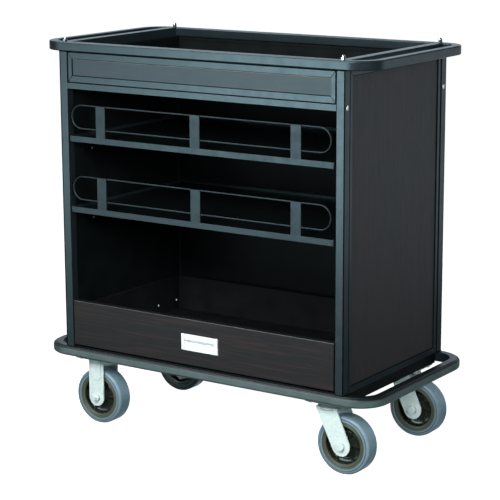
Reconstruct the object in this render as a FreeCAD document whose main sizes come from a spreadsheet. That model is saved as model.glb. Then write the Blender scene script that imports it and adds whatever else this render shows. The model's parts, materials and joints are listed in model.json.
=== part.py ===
import FreeCAD, Part

# Food service trolley: an open-fronted cabinet on four casters, with a drawer, two shelves and a top bin.
# Frame of the model: millimetres, +Z up, origin on the floor under the middle of the trolley.
# The long side lies along X, and the open front faces -Y.

import math
import os

import Sketcher
from FreeCAD import Placement, Rotation, Vector

DIMENSIONS = {
    # cabinet
    "cabinet_half_x": 433,
    "cabinet_half_y": 252,
    "base_top": 218,
    "ring_bottom": 1011,
    "post_side": 24,
    "post_corner": 2,
    "tube_wall": 2,
    # top ring, which is also the push handle at both ends
    "ring_half_x": 501.5,
    "ring_half_y": 253,
    "ring_tube": 24,
    "ring_radius": 68,
    "ring_edge": 3.5,
    "stud_radius": 3,
    "stud_hole": 3.2,
    "stud_rise": 7,
    "stud_plug": 20,
    "plug_clearance": 0.2,
    "thread_clearance": 0.05,
    "cap_nut_flats": 10,
    "cap_nut_hex": 5.5,
    "cap_nut_height": 12,
    "cap_nut_bore": 9,
    "cap_nut_inset": 0.3,
    # bevelled picture frames and panels
    "bead_rail": 15,
    "bead_apron": 11,
    "bead_end": 14,
    "bead_depth": 4.5,
    "bead_slope": 1.5,
    "bead_land": 2.5,
    "bead_ridge": 1.5,
    "mitre_gap": 1.6,
    "panel_thick": 7.5,
    "panel_inset": 2,
    "liner_thick": 2,
    "apron_half_x": 405,
    "apron_bottom": 932.5,
    "apron_top": 1008,
    # rails between the posts
    "rail_height": 15,
    "upper_rail_bottom": 914.5,
    "lower_rail_bottom": 238,
    "rear_rail_depth": 12,
    "end_rail_height": 30,
    # top bin
    "bin_half_x": 407,
    "bin_half_y": 240,
    "bin_top": 1010,
    "bin_wall": 2,
    "bin_rim": 3,
    "bin_rim_height": 8,
    "notch_radius": 2.5,
    "notch_pitch": 102.25,
    "notch_drop": 1.5,
    # shelves and their guards
    "shelf_half_x": 403.5,
    "shelf_back": 238,
    "shelf_lip": 15,
    "shelf_wall": 3,
    "shelf_sink": 8,
    "shelf_sheet": 2,
    "upper_shelf_top": 791,
    "lower_shelf_top": 603,
    "guard_x": -3,
    "strap_width": 29,
    "strap_pitch": 299,
    "strap_rise": 83,
    "wire_radius": 2.1,
    "wire_low": 20,
    "wire_high": 81,
    "wire_end": 396,
    # shelf cleats
    "cleat_sheet": 2,
    "cleat_leg": 19,
    "cleat_shelf": 24,
    "cleat_half_y": 215,
    "hook_width": 12,
    "hook_drop": 41,
    "hook_slot": 6,
    "hook_y": 195,
    # pan-head screws: in the posts, in the end liners and in the drawer
    "post_screw_z": 922,
    "post_screw_head": 6,
    "post_screw_shank": 2.5,
    "post_screw_hole": 2.6,
    "liner_screw_y": 155,
    "liner_screw_drop": 46,
    "liner_screw_head": 3,
    "liner_screw_shank": 1.5,
    "liner_screw_length": 8,
    "drawer_screw_head": 3.2,
    "drawer_screw_shank": 1.5,
    "drawer_screw_hole": 1.6,
    # base
    "base_half_x": 510,
    "base_half_y": 252,
    "base_radius": 73,
    "base_tube": 20,
    "base_edge": 2,
    "base_bottom": 192,
    "base_drain": 3,
    "bumper_thick": 7,
    "bumper_height": 24,
    "bumper_round": 6.5,
    "cross_rail_width": 40,
    "cross_rail_wall": 2.5,
    "cross_rail_bottom": 188,
    "cross_rail_inset": 7,
    "inner_rail_x": 319,
    "deck_thick": 2,
    "deck_half_x": 408,
    "deck_half_y": 244,
    # drawer
    "drawer_half_x": 406,
    "drawer_bottom": 226,
    "drawer_top": 347,
    "drawer_front": 19,
    "drawer_box_x": 396,
    "drawer_board": 12,
    "drawer_back": 205,
    "drawer_floor": 230,
    "drawer_floor_thick": 6,
    "drawer_box_top": 332,
    "drawer_skirt": 2,
    "drawer_edge": 1.5,
    # recessed pull in the drawer front
    "pull_width": 113,
    "pull_height": 42.5,
    "pull_x": 7,
    "pull_z": 286.75,
    "pull_plate": 2,
    "pull_cap": 4,
    "pull_side": 11,
    "pull_band": 15,
    "pull_sill": 4,
    "pull_depth": 14,
    "pull_wall": 1.5,
    "pull_round": 8,
    "pull_clearance": 0.3,
    "pull_cap_round": 1.5,
    "pull_grip_step": 0.6,
    "pull_grip_round": 1.2,
    "pull_screw_rise": 11.5,
    "pull_screw_head": 3,
    "pull_screw_head_height": 1.6,
    "pull_screw_length": 5,
    # telescopic slides
    "slide_length": 450,
    "slide_z": 262,
    "slide_sheet": 1.4,
    "slide_height": 45,
    "slide_step": 5.3,
    "slide_outer_x": 409,
    "slide_outer_depth": 10,
    "slide_middle_x": 406,
    "slide_middle_depth": 8,
    "slide_inner_depth": 7.6,
    # casters
    "caster_x": 365,
    "caster_y": 183,
    "caster_trail": 40,
    "wheel_radius": 75,
    "tyre_half": 23,
    "tyre_seat": 61,
    "tyre_shoulder": 7,
    "groove_rise": 4.5,
    "groove_width": 2,
    "groove_depth": 2,
    "hub_half": 21.5,
    "hub_lip": 52,
    "hub_recess": 47,
    "hub_web": 5,
    "hub_boss": 18,
    "hub_boss_half": 28,
    "hub_lip_drop": 2,
    "hub_chamfer": 2,
    "rib_thick": 4,
    "rib_rise": 8,
    "bearing_radius": 12,
    "bearing_stand": 0.6,
    "axle_radius": 6,
    "axle_clearance": 0.06,
    "fork_half": 32.5,
    "fork_sheet": 3.5,
    "fork_end": 25,
    "rigid_leg_half": 24,
    "fork_crown_top": 170,
    "fork_crown_thick": 5,
    "crown_rear": 31,
    "crown_front": 28,
    "leg_shoulder": 8,
    "race_radius": 38,
    "race_taper": 3,
    "race_gap": 0.5,
    "race_clearance": 0.2,
    "emboss_half": 16.5,
    "emboss_rise": 1.2,
    "emboss_bottom": 122,
    "plate_long": 114,
    "plate_wide": 102,
    "plate_thick": 5,
    "plate_corner": 10,
    "bolt_half_x": 46,
    "bolt_half_y": 33.5,
    "bolt_radius": 4,
    "bolt_hole": 4.3,
    "bolt_flats": 13,
    "bolt_head": 5.3,
    "bolt_end": 3,
    "nut_height": 6.5,
    "axle_flats": 19,
    "axle_head": 8,
    "axle_end": 5,
    "kingpin_radius": 7,
    "kingpin_flats": 22,
    "kingpin_head": 9,
    "kingpin_gap": 0.4,
}

NOTCHES_EACH_SIDE = 3
WHEEL_RIBS = 6
LEG_LEAN = 27  # degrees that a swivel fork's leg leans back from upright
DRAWER_SCREW_ROWS = (-185, -45, 95, 180)
PAN_HEIGHT = 0.35  # a pan head's height as a share of its radius
OVERCUT = 1  # how far a cutting tool reaches past the face that it opens
TINY = 1e-4
NEAR = 0.1

doc = FreeCAD.newDocument("food_service_trolley")
subparts = []


def make_sheet():
    """Put every driving dimension in the sheet, under its own alias."""
    sheet = doc.addObject("Spreadsheet::Sheet", "dims")
    for row, (alias, value) in enumerate(DIMENSIONS.items(), start=1):
        sheet.set(f"A{row}", alias)
        sheet.set(f"B{row}", str(value))
        sheet.setAlias(f"B{row}", alias)
    doc.recompute()
    return sheet


class Size:
    """A length with its value now and the formula that ties it to the sheet."""

    def __init__(self, value, formula):
        self.value = value
        self.formula = formula

    def __add__(self, other):
        other = as_size(other)
        return Size(self.value + other.value, f"({self.formula} + {other.formula})")

    def __sub__(self, other):
        other = as_size(other)
        return Size(self.value - other.value, f"({self.formula} - {other.formula})")

    def __mul__(self, other):
        other = as_size(other)
        return Size(self.value * other.value, f"({self.formula} * {other.formula})")

    def __truediv__(self, other):
        other = as_size(other)
        return Size(self.value / other.value, f"({self.formula} / {other.formula})")

    def __radd__(self, other):
        return as_size(other) + self

    def __rsub__(self, other):
        return as_size(other) - self

    def __rmul__(self, other):
        return as_size(other) * self

    def __neg__(self):
        return as_size(0) - self


def as_size(thing):
    if isinstance(thing, Size):
        return thing
    return Size(float(thing), f"({float(thing)})")


class Dimensions:
    """Gives each alias of the sheet as a Size."""

    def __getattr__(self, alias):
        return Size(float(DIMENSIONS[alias]), f"dims.{alias}")


make_sheet()
d = Dimensions()


# ---------------------------------------------------------------- drawing helpers

def bind(obj, prop, length):
    """Set a property and tie it to the sheet."""
    obj.setExpression(prop, as_size(length).formula)


def place(obj, x=0, y=0, z=0, turn=None):
    """Give an object its turn, and tie its position to the sheet."""
    x, y, z = as_size(x), as_size(y), as_size(z)
    obj.Placement = Placement(Vector(x.value, y.value, z.value), turn or Rotation())
    for axis, length in zip("xyz", (x, y, z)):
        bind(obj, f"Placement.Base.{axis}", length)
    return obj


def keep(obj, label):
    """Name a finished sub-part and list it for writing."""
    obj.Label = label
    subparts.append(obj)
    return obj


def box(name, centre, size):
    """A block given by its middle and its three extents."""
    obj = doc.addObject("Part::Box", name)
    for prop, extent in zip(("Length", "Width", "Height"), size):
        bind(obj, prop, extent)
    corner = [as_size(middle) - as_size(extent) / 2 for middle, extent in zip(centre, size)]
    return place(obj, *corner)


def block(name, x_range, y_range, z_range):
    """A block given by its limits along each axis."""
    limits = [(as_size(low), as_size(high)) for low, high in (x_range, y_range, z_range)]
    centre = [(low + high) / 2 for low, high in limits]
    return box(name, centre, [high - low for low, high in limits])


AXIS_TURN = {
    "x": Rotation(Vector(0, 1, 0), 90),
    "y": Rotation(Vector(1, 0, 0), -90),
    "z": Rotation(),
}


def cylinder(name, start, radius, length, axis="z"):
    """A cylinder from its start point along +X, +Y or +Z."""
    obj = doc.addObject("Part::Cylinder", name)
    bind(obj, "Radius", radius)
    bind(obj, "Height", length)
    return place(obj, *start, turn=AXIS_TURN[axis])


def hexagon(name, start, flats, length, axis="z"):
    """A hexagonal prism of the given size across its flats."""
    obj = doc.addObject("Part::Prism", name)
    obj.Polygon = 6
    bind(obj, "Circumradius", as_size(flats) / (2 * math.cos(math.radians(30))))
    bind(obj, "Height", length)
    return place(obj, *start, turn=AXIS_TURN[axis])


def fuse(name, *pieces):
    obj = doc.addObject("Part::MultiFuse", name)
    obj.Shapes = list(pieces)
    obj.Refine = True
    return obj


def group(name, *pieces):
    """Separate solids kept together under one name."""
    obj = doc.addObject("Part::Compound", name)
    obj.Links = list(pieces)
    return obj


def cut(name, base, *tools):
    obj = doc.addObject("Part::Cut", name)
    obj.Base = base
    obj.Tool = tools[0] if len(tools) == 1 else fuse(name + "_tools", *tools)
    return obj


def fillet(name, base, radius, wanted):
    """Round the edges of a Part object that the test picks out."""
    doc.recompute()
    obj = doc.addObject("Part::Fillet", name)
    obj.Base = base
    numbers = [n for n, edge in enumerate(base.Shape.Edges, start=1) if wanted(edge)]
    obj.Edges = [(n, radius.value, radius.value) for n in numbers]
    return obj


def lies_flat(edge):
    """True for an edge that stays at one height."""
    return edge.BoundBox.ZLength < TINY


def lies_at_y(edge, y):
    """True for an edge in the upright plane at that Y."""
    extents = edge.BoundBox
    return extents.YLength < TINY and abs(extents.YMin - y) < NEAR


def side_range(sign, near, far):
    """The X limits, low to high, of what lies between two distances on one side."""
    return (near, far) if sign > 0 else (-far, -near)


def fix_point(sketch, geometry, position, x, y):
    """Tie one point of a sketch to the sheet by its distances from the sketch's origin."""
    for kind, length in (("DistanceX", as_size(x)), ("DistanceY", as_size(y))):
        index = sketch.addConstraint(Sketcher.Constraint(kind, -1, 1, geometry, position, length.value))
        bind(sketch, f"Constraints[{index}]", length)


def draw_polygon(sketch, points):
    """A closed outline of straight lines through points that are tied to the sheet."""
    sizes = [(as_size(x), as_size(y)) for x, y in points]
    corners = [Vector(x.value, y.value, 0) for x, y in sizes]
    first = sketch.GeometryCount
    count = len(corners)
    for start, end in zip(corners, corners[1:] + corners[:1]):
        sketch.addGeometry(Part.LineSegment(start, end))
    for step in range(count):
        following = first + (step + 1) % count
        sketch.addConstraint(Sketcher.Constraint("Coincident", first + step, 2, following, 1))
    for step, (x, y) in enumerate(sizes):
        fix_point(sketch, first + step, 1, x, y)


def draw_circle(sketch, x, y, radius):
    x, y, radius = as_size(x), as_size(y), as_size(radius)
    centre = Vector(x.value, y.value, 0)
    circle = sketch.addGeometry(Part.Circle(centre, Vector(0, 0, 1), radius.value))
    index = sketch.addConstraint(Sketcher.Constraint("Radius", circle, radius.value))
    bind(sketch, f"Constraints[{index}]", radius)
    fix_point(sketch, circle, 3, x, y)


def draw_rounded_rectangle(sketch, half_x, half_y, radius):
    """A rectangle about the sketch's origin with four equal round corners."""
    inner_x = half_x - radius
    inner_y = half_y - radius
    arcs = []
    for quarter, (sign_x, sign_y) in enumerate(((1, 1), (-1, 1), (-1, -1), (1, -1))):
        centre = Vector(sign_x * inner_x.value, sign_y * inner_y.value, 0)
        circle = Part.Circle(centre, Vector(0, 0, 1), radius.value)
        start = math.radians(90 * quarter)
        arc = sketch.addGeometry(Part.ArcOfCircle(circle, start, start + math.pi / 2))
        index = sketch.addConstraint(Sketcher.Constraint("Radius", arc, radius.value))
        bind(sketch, f"Constraints[{index}]", radius)
        fix_point(sketch, arc, 3, sign_x * inner_x, sign_y * inner_y)
        arcs.append(arc)
    for arc, following in zip(arcs, arcs[1:] + arcs[:1]):
        start = sketch.getPoint(arc, 2)
        end = sketch.getPoint(following, 1)
        line = sketch.addGeometry(Part.LineSegment(start, end))
        sketch.addConstraint(Sketcher.Constraint("Tangent", arc, 2, line, 1))
        sketch.addConstraint(Sketcher.Constraint("Tangent", line, 2, following, 1))


def free_sketch(name, x=0, y=0, z=0, turn=None):
    return place(doc.addObject("Sketcher::SketchObject", name), x, y, z, turn)


def extrude(name, sketch, length):
    obj = doc.addObject("Part::Extrusion", name)
    obj.Base = sketch
    obj.DirMode = "Normal"
    obj.Solid = True
    bind(obj, "LengthFwd", length)
    return obj


def new_body(name):
    return doc.addObject("PartDesign::Body", name)


def body_sketch(body, role, name):
    """A sketch on one of the body's own origin planes."""
    sketch = body.newObject("Sketcher::SketchObject", name)
    plane = next(item for item in body.Origin.OriginFeatures if item.Role == role)
    sketch.AttachmentSupport = [(plane, "")]
    sketch.MapMode = "FlatFace"
    return sketch


def pad(body, name, sketch, length, both_sides=False):
    feature = body.newObject("PartDesign::Pad", name)
    feature.Profile = sketch
    feature.Midplane = both_sides
    bind(feature, "Length", length)
    return feature


def revolve(body, name, sketch):
    """Turn a profile a full circle about the sketch's upright axis."""
    feature = body.newObject("PartDesign::Revolution", name)
    feature.Profile = sketch
    feature.ReferenceAxis = (sketch, ["V_Axis"])
    feature.Angle = 360
    return feature


# ---------------------------------------------------------------- shared positions

post_x = d.cabinet_half_x - d.post_side / 2
post_y = d.cabinet_half_y - d.post_side / 2
inside_x = d.cabinet_half_x - d.post_side
inside_y = d.cabinet_half_y - d.post_side
ring_top = d.ring_bottom + d.ring_tube
cabinet_height = d.ring_bottom - d.base_top
panel_x = d.cabinet_half_x - d.bead_depth
panel_y = d.cabinet_half_y - d.bead_depth
upper_rail_top = d.upper_rail_bottom + d.rail_height
SIDES = (("left", -1), ("right", 1))
CORNERS = (
    ("front_left", -1, -1),
    ("front_right", 1, -1),
    ("rear_left", -1, 1),
    ("rear_right", 1, 1),
)


# ---------------------------------------------------------------- posts and top ring

def make_posts():
    """Four square tubes with a screw hole in the outer face near the top."""
    for corner, sign_x, sign_y in CORNERS:
        body = new_body(f"post_tube_{corner}")
        outline = body_sketch(body, "XY_Plane", f"post_outline_{corner}")
        half = d.post_side / 2
        draw_rounded_rectangle(outline, half, half, d.post_corner)
        core = half - d.tube_wall
        draw_polygon(outline, ((-core, -core), (core, -core), (core, core), (-core, core)))
        pad(body, f"post_pad_{corner}", outline, cabinet_height)
        place(body, sign_x * post_x, sign_y * post_y, d.base_top)
        hole_x = side_range(sign_x, post_x, post_x + d.post_side)[0]
        hole = cylinder(f"post_hole_{corner}", (hole_x, sign_y * post_y, d.post_screw_z),
                        d.post_screw_hole, d.post_side, "x")
        keep(cut(f"post_cut_{corner}", body, hole), f"post_{corner}")


def ring_block(name, half_x, half_y, radius, width, bottom, height):
    """A flat band that follows a rounded rectangle, given by its outer size."""
    sketch = free_sketch(f"{name}_outline", z=bottom)
    draw_rounded_rectangle(sketch, half_x, half_y, radius)
    draw_rounded_rectangle(sketch, half_x - width, half_y - width, radius - width)
    return extrude(name, sketch, height)


def hollow_ring(name, half_x, half_y, radius, width, bottom, height, edge):
    """A closed ring of bent rectangular tube."""
    outside = ring_block(f"{name}_outside", half_x, half_y, radius, width, bottom, height)
    rounded = fillet(f"{name}_rounded", outside, edge, lies_flat)
    wall = d.tube_wall
    core = ring_block(f"{name}_core", half_x - wall, half_y - wall, radius - wall, width - 2 * wall,
                      bottom + wall, height - 2 * wall)
    return rounded, core


def make_top_ring():
    rounded, core = hollow_ring("top_tube", d.ring_half_x, d.ring_half_y, d.ring_radius, d.ring_tube,
                                d.ring_bottom, d.ring_tube, d.ring_edge)
    holes = [cylinder(f"top_hole_{corner}", (sign_x * post_x, sign_y * post_y, d.ring_bottom - OVERCUT),
                      d.stud_hole, d.ring_tube + 2 * OVERCUT)
             for corner, sign_x, sign_y in CORNERS]
    keep(cut("top_ring_cut", rounded, core, *holes), "top_ring")


def make_cross_bars():
    """Two tubes across the ring, over the end posts."""
    bars = []
    span = 2 * (d.ring_half_y - d.ring_tube)
    for side, sign in SIDES:
        centre = (sign * post_x, 0, d.ring_bottom + d.ring_tube / 2)
        outside = box(f"bar_outside_{side}", centre, (d.ring_tube, span, d.ring_tube))
        core = d.ring_tube - 2 * d.tube_wall
        inside = box(f"bar_inside_{side}", centre, (core, span + 2 * OVERCUT, core))
        bars.append(cut(f"bar_{side}", outside, inside))
    keep(group("cross_bar_pair", *bars), "cross_bars")


def make_corner_fasteners():
    """A stud stands in the top of each post and a domed nut clamps the ring to it."""
    studs = []
    nuts = []
    plug = d.post_side - 2 * d.tube_wall - d.plug_clearance
    dome_radius = d.cap_nut_flats / 2 - d.cap_nut_inset
    for corner, sign_x, sign_y in CORNERS:
        x = sign_x * post_x
        y = sign_y * post_y
        root = box(f"stud_plug_{corner}", (x, y, d.ring_bottom - d.stud_plug / 2),
                   (plug, plug, d.stud_plug))
        rod = cylinder(f"stud_rod_{corner}", (x, y, d.ring_bottom - d.stud_plug), d.stud_radius,
                       d.stud_plug + d.ring_tube + d.stud_rise)
        studs.append(fuse(f"stud_{corner}", root, rod))
        prism = hexagon(f"nut_hex_{corner}", (x, y, ring_top), d.cap_nut_flats, d.cap_nut_hex)
        dome = doc.addObject("Part::Sphere", f"nut_dome_{corner}")
        bind(dome, "Radius", dome_radius)
        place(dome, x, y, ring_top + d.cap_nut_height - dome_radius)
        bore = cylinder(f"nut_bore_{corner}", (x, y, ring_top - OVERCUT),
                        d.stud_radius + d.thread_clearance, d.cap_nut_bore)
        below = cylinder(f"nut_below_{corner}", (x, y, ring_top - d.cap_nut_flats), d.cap_nut_flats,
                         d.cap_nut_flats)
        nuts.append(cut(f"nut_{corner}", fuse(f"nut_solid_{corner}", prism, dome), bore, below))
    keep(group("stud_set", *studs), "corner_studs")
    keep(group("nut_set", *nuts), "cap_nuts")


# ---------------------------------------------------------------- panels and their frames

def mitre_slit(name, sign_x, half_width, side_bead, edge_z, inward):
    """The narrow gap along a mitre, from a frame's outer corner to its inner one."""
    spare = d.mitre_gap
    near_x = half_width + spare
    far_x = half_width - side_bead - spare
    near_z = edge_z - inward * spare
    far_z = edge_z + inward * (d.bead_rail + spare)
    half = d.mitre_gap / 2
    sketch = free_sketch(name + "_outline", y=d.bead_depth + OVERCUT, turn=Rotation(Vector(1, 0, 0), 90))
    draw_polygon(sketch, (
        (sign_x * (near_x - half), near_z), (sign_x * (near_x + half), near_z),
        (sign_x * (far_x + half), far_z), (sign_x * (far_x - half), far_z),
    ))
    return extrude(name, sketch, d.bead_depth + 2 * OVERCUT)


def bevel_frame(name, half_width, height, side_bead):
    """A mitred frame that slopes up to a ridge round its window. It faces -Y from y = 0, on z = 0."""
    plate = block(f"{name}_plate", (-half_width, half_width), (d.bead_slope, d.bead_depth), (0, height))
    slope = doc.addObject("Part::Wedge", f"{name}_slope")
    low_x = half_width - d.bead_land
    far_x = half_width - side_bead
    ridge_x = far_x + d.bead_ridge
    ridge_z = d.bead_rail - d.bead_ridge
    limits = {
        "Xmin": -ridge_x, "Xmax": ridge_x, "X2min": -low_x, "X2max": low_x,
        "Ymin": as_size(0), "Ymax": d.bead_slope,
        "Zmin": ridge_z, "Zmax": height - ridge_z,
        "Z2min": d.bead_land, "Z2max": height - d.bead_land,
    }
    for prop, length in limits.items():
        setattr(slope, prop, length.value)
        bind(slope, prop, length)
    outside = fuse(f"{name}_outside", plate, slope)
    window = block(f"{name}_window", (-far_x, far_x), (-OVERCUT, d.bead_depth + OVERCUT),
                   (d.bead_rail, height - d.bead_rail))
    slits = []
    for side, sign_x in SIDES:
        for end, edge_z, inward in (("low", as_size(0), 1), ("top", height, -1)):
            slits.append(mitre_slit(f"{name}_mitre_{end}_{side}", sign_x, half_width, side_bead,
                                    edge_z, inward))
    return cut(name, outside, slope, window, *slits)


def make_apron():
    """The framed board across the front of the top bin."""
    height = d.apron_top - d.apron_bottom
    frame = bevel_frame("apron_bevel", d.apron_half_x, height, d.bead_apron)
    keep(place(frame, 0, -d.cabinet_half_y, d.apron_bottom), "apron_frame")
    half = d.apron_half_x - d.panel_inset
    panel = block("apron_board", (-half, half), (-panel_y, d.panel_thick - panel_y),
                  (d.apron_bottom + d.panel_inset, d.apron_top - d.panel_inset))
    keep(panel, "apron_panel")


def make_end_panels():
    for side, sign in SIDES:
        frame = bevel_frame(f"end_bevel_{side}", inside_y, cabinet_height, d.bead_end)
        turn = Rotation(Vector(0, 0, 1), 90 * sign)
        keep(place(frame, sign * d.cabinet_half_x, 0, d.base_top, turn), f"end_frame_{side}")
        board = box(f"end_board_{side}",
                    (sign * (panel_x - d.panel_thick / 2), 0, d.base_top + cabinet_height / 2),
                    (d.panel_thick, 2 * (inside_y - d.panel_inset), cabinet_height - 2 * d.panel_inset))
        keep(board, f"end_panel_{side}")


def liner_screw_spots():
    """Where the small screws go in the end liners, as (name, side, y, z)."""
    spots = []
    for corner, sign_x, sign_y in CORNERS:
        for name, top in SHELVES:
            spots.append((f"{name}_{corner}", sign_x, sign_y * d.liner_screw_y, top - d.liner_screw_drop))
    return spots


def make_liners():
    """Thin black sheets inside both ends, flush with the posts, and one in front of the back panel."""
    sheets = []
    for side, sign in SIDES:
        x = sign * (inside_x + d.liner_thick / 2)
        sheets.append(box(f"liner_{side}", (x, 0, d.base_top + cabinet_height / 2),
                          (d.liner_thick, 2 * inside_y, cabinet_height)))
    back_y = inside_y + d.rear_rail_depth
    sheets.append(block("liner_back", (-inside_x, inside_x), (back_y, back_y + d.liner_thick),
                        (d.base_top + d.deck_thick, d.ring_bottom - d.panel_inset)))
    holes = []
    for name, sign, y, z in liner_screw_spots():
        x = side_range(sign, inside_x - OVERCUT, inside_x + d.liner_thick + OVERCUT)[0]
        holes.append(cylinder(f"liner_hole_{name}", (x, y, z), d.liner_screw_shank,
                              d.liner_thick + 2 * OVERCUT, "x"))
    keep(cut("liners_drilled", group("liner_set", *sheets), *holes), "inner_liners")


def make_back():
    frame = bevel_frame("back_bevel", inside_x, cabinet_height, d.bead_end)
    keep(place(frame, 0, d.cabinet_half_y, d.base_top, Rotation(Vector(0, 0, 1), 180)), "back_frame")
    half = inside_x - d.panel_inset
    panel = block("back_board", (-half, half), (panel_y - d.panel_thick + d.liner_thick, panel_y),
                  (d.base_top + d.deck_thick, d.ring_bottom - d.panel_inset))
    keep(panel, "back_panel")


def make_frame_rails():
    """Rails from post to post: under the top bin, low at the back, and inside both ends."""
    rear_y = (inside_y, inside_y + d.rear_rail_depth)
    rails = [
        block("rail_upper_front", (-inside_x, inside_x), (-d.cabinet_half_y, -inside_y),
              (d.upper_rail_bottom, upper_rail_top)),
        block("rail_upper_rear", (-inside_x, inside_x), rear_y, (d.upper_rail_bottom, upper_rail_top)),
        block("rail_lower_rear", (-inside_x, inside_x), rear_y,
              (d.lower_rail_bottom, d.lower_rail_bottom + d.rail_height)),
    ]
    near = inside_x + d.liner_thick
    far = panel_x - d.panel_thick
    for side, sign in SIDES:
        for level, middle in (("low", d.base_top + d.end_rail_height / 2),
                              ("high", d.ring_bottom - d.end_rail_height / 2)):
            rails.append(box(f"rail_{level}_{side}", (sign * (near + far) / 2, 0, middle),
                             (far - near, 2 * inside_y, d.end_rail_height)))
    keep(group("rail_set", *rails), "frame_rails")


# ---------------------------------------------------------------- top bin

def make_top_bin():
    """A folded tray with a thick rim, notched at the front and back to take dividers."""
    outside = block("bin_outside", (-d.bin_half_x, d.bin_half_x), (-d.bin_half_y, d.bin_half_y),
                    (upper_rail_top, d.bin_top))
    x = d.bin_half_x - d.bin_wall
    y = d.bin_half_y - d.bin_wall
    below = block("bin_inside", (-x, x), (-y, y),
                  (upper_rail_top + d.bin_wall, d.bin_top - d.bin_rim_height))
    x = x - d.bin_rim
    y = y - d.bin_rim
    mouth = block("bin_mouth", (-x, x), (-y, y),
                  (d.bin_top - d.bin_rim_height - OVERCUT, d.bin_top + OVERCUT))
    notches = []
    for step in range(-NOTCHES_EACH_SIDE, NOTCHES_EACH_SIDE + 1):
        for side, sign in (("front", -1), ("rear", 1)):
            start_y = y - OVERCUT if sign > 0 else -y - d.bin_rim
            notches.append(cylinder(f"bin_notch_{side}_{step + NOTCHES_EACH_SIDE}",
                                    (step * d.notch_pitch, start_y, d.bin_top - d.notch_drop),
                                    d.notch_radius, d.bin_rim + OVERCUT, "y"))
    tray = cut("bin_tray", outside, below, mouth)
    keep(cut("bin_cut", tray, group("bin_notches", *notches)), "top_bin")


# ---------------------------------------------------------------- shelves, guards and cleats

SHELVES = (("upper", d.upper_shelf_top), ("lower", d.lower_shelf_top))


def make_shelves():
    """Pressed trays whose floor sits below the rim."""
    for name, top in SHELVES:
        bottom = top - d.shelf_lip
        outside = block(f"shelf_outside_{name}", (-d.shelf_half_x, d.shelf_half_x),
                        (-d.cabinet_half_y, d.shelf_back), (bottom, top))
        x = d.shelf_half_x - d.shelf_wall
        y_range = (d.shelf_wall - d.cabinet_half_y, d.shelf_back - d.shelf_wall)
        floor = top - d.shelf_sink
        above = block(f"shelf_above_{name}", (-x, x), y_range, (floor, top + OVERCUT))
        under = block(f"shelf_under_{name}", (-x, x), y_range, (bottom - OVERCUT, floor - d.shelf_sheet))
        keep(cut(f"shelf_cut_{name}", outside, above, under), f"{name}_shelf")


def make_guard_straps():
    """Three upright straps on each shelf, flush with its front lip."""
    straps = []
    for name, top in SHELVES:
        for step in (-1, 0, 1):
            middle = (d.guard_x + step * d.strap_pitch, d.shelf_wall / 2 - d.cabinet_half_y,
                      top + d.strap_rise / 2)
            straps.append(box(f"strap_{name}_{step + 1}", middle,
                              (d.strap_width, d.shelf_wall, d.strap_rise)))
    keep(group("strap_set", *straps), "guard_straps")


def make_guard_wires():
    """A closed wire loop with round ends behind the straps of each shelf."""
    y = d.shelf_wall + d.wire_radius - d.cabinet_half_y
    bend = (d.wire_high - d.wire_low) / 2
    straight = d.wire_end - bend
    for name, top in SHELVES:
        runs = [cylinder(f"wire_{name}_{level}", (d.guard_x - straight, y, top + rise), d.wire_radius,
                         2 * straight, "x")
                for level, rise in (("low", d.wire_low), ("high", d.wire_high))]
        for side, sign in SIDES:
            arc = doc.addObject("Part::Torus", f"wire_{name}_{side}")
            bind(arc, "Radius1", bend)
            bind(arc, "Radius2", d.wire_radius)
            arc.Angle3 = 180
            turn = Rotation(Vector(0, 1, 0), 90 * sign).multiply(Rotation(Vector(1, 0, 0), 90))
            place(arc, d.guard_x + sign * straight, y, top + d.wire_low + bend, turn)
            runs.append(arc)
        keep(fuse(f"wire_loop_{name}", *runs), f"{name}_guard_wire")


def make_shelf_cleats():
    """An angle under each end of each shelf, with a slotted tongue near its front and rear."""
    cleats = []
    for name, top in SHELVES:
        bottom = top - d.shelf_lip
        for side, sign in SIDES:
            wall_x = sign * (inside_x - d.cleat_sheet / 2)
            pieces = [
                box(f"cleat_leg_{name}_{side}", (wall_x, 0, bottom - d.cleat_leg / 2),
                    (d.cleat_sheet, 2 * d.cleat_half_y, d.cleat_leg)),
                box(f"cleat_arm_{name}_{side}",
                    (sign * (inside_x - d.cleat_shelf / 2), 0, bottom - d.cleat_sheet / 2),
                    (d.cleat_shelf, 2 * d.cleat_half_y, d.cleat_sheet)),
            ]
            slots = []
            for end, sign_y in (("front", -1), ("rear", 1)):
                tongue = d.hook_drop - d.hook_width / 2
                middle_y = sign_y * d.hook_y
                pieces.append(box(f"hook_{name}_{side}_{end}", (wall_x, middle_y, bottom - tongue / 2),
                                  (d.cleat_sheet, d.hook_width, tongue)))
                pieces.append(cylinder(f"hook_end_{name}_{side}_{end}",
                                       (wall_x - d.cleat_sheet / 2, middle_y, bottom - tongue),
                                       d.hook_width / 2, d.cleat_sheet, "x"))
                slots.append(box(f"hook_slot_{name}_{side}_{end}",
                                 (wall_x, middle_y, bottom - d.cleat_leg - d.hook_slot),
                                 (d.cleat_sheet + 2 * OVERCUT, d.hook_slot, 2 * d.hook_slot)))
            cleats.append(cut(f"cleat_{name}_{side}", fuse(f"cleat_solid_{name}_{side}", *pieces),
                              *slots))
    keep(group("cleat_set", *cleats), "shelf_cleats")


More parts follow.
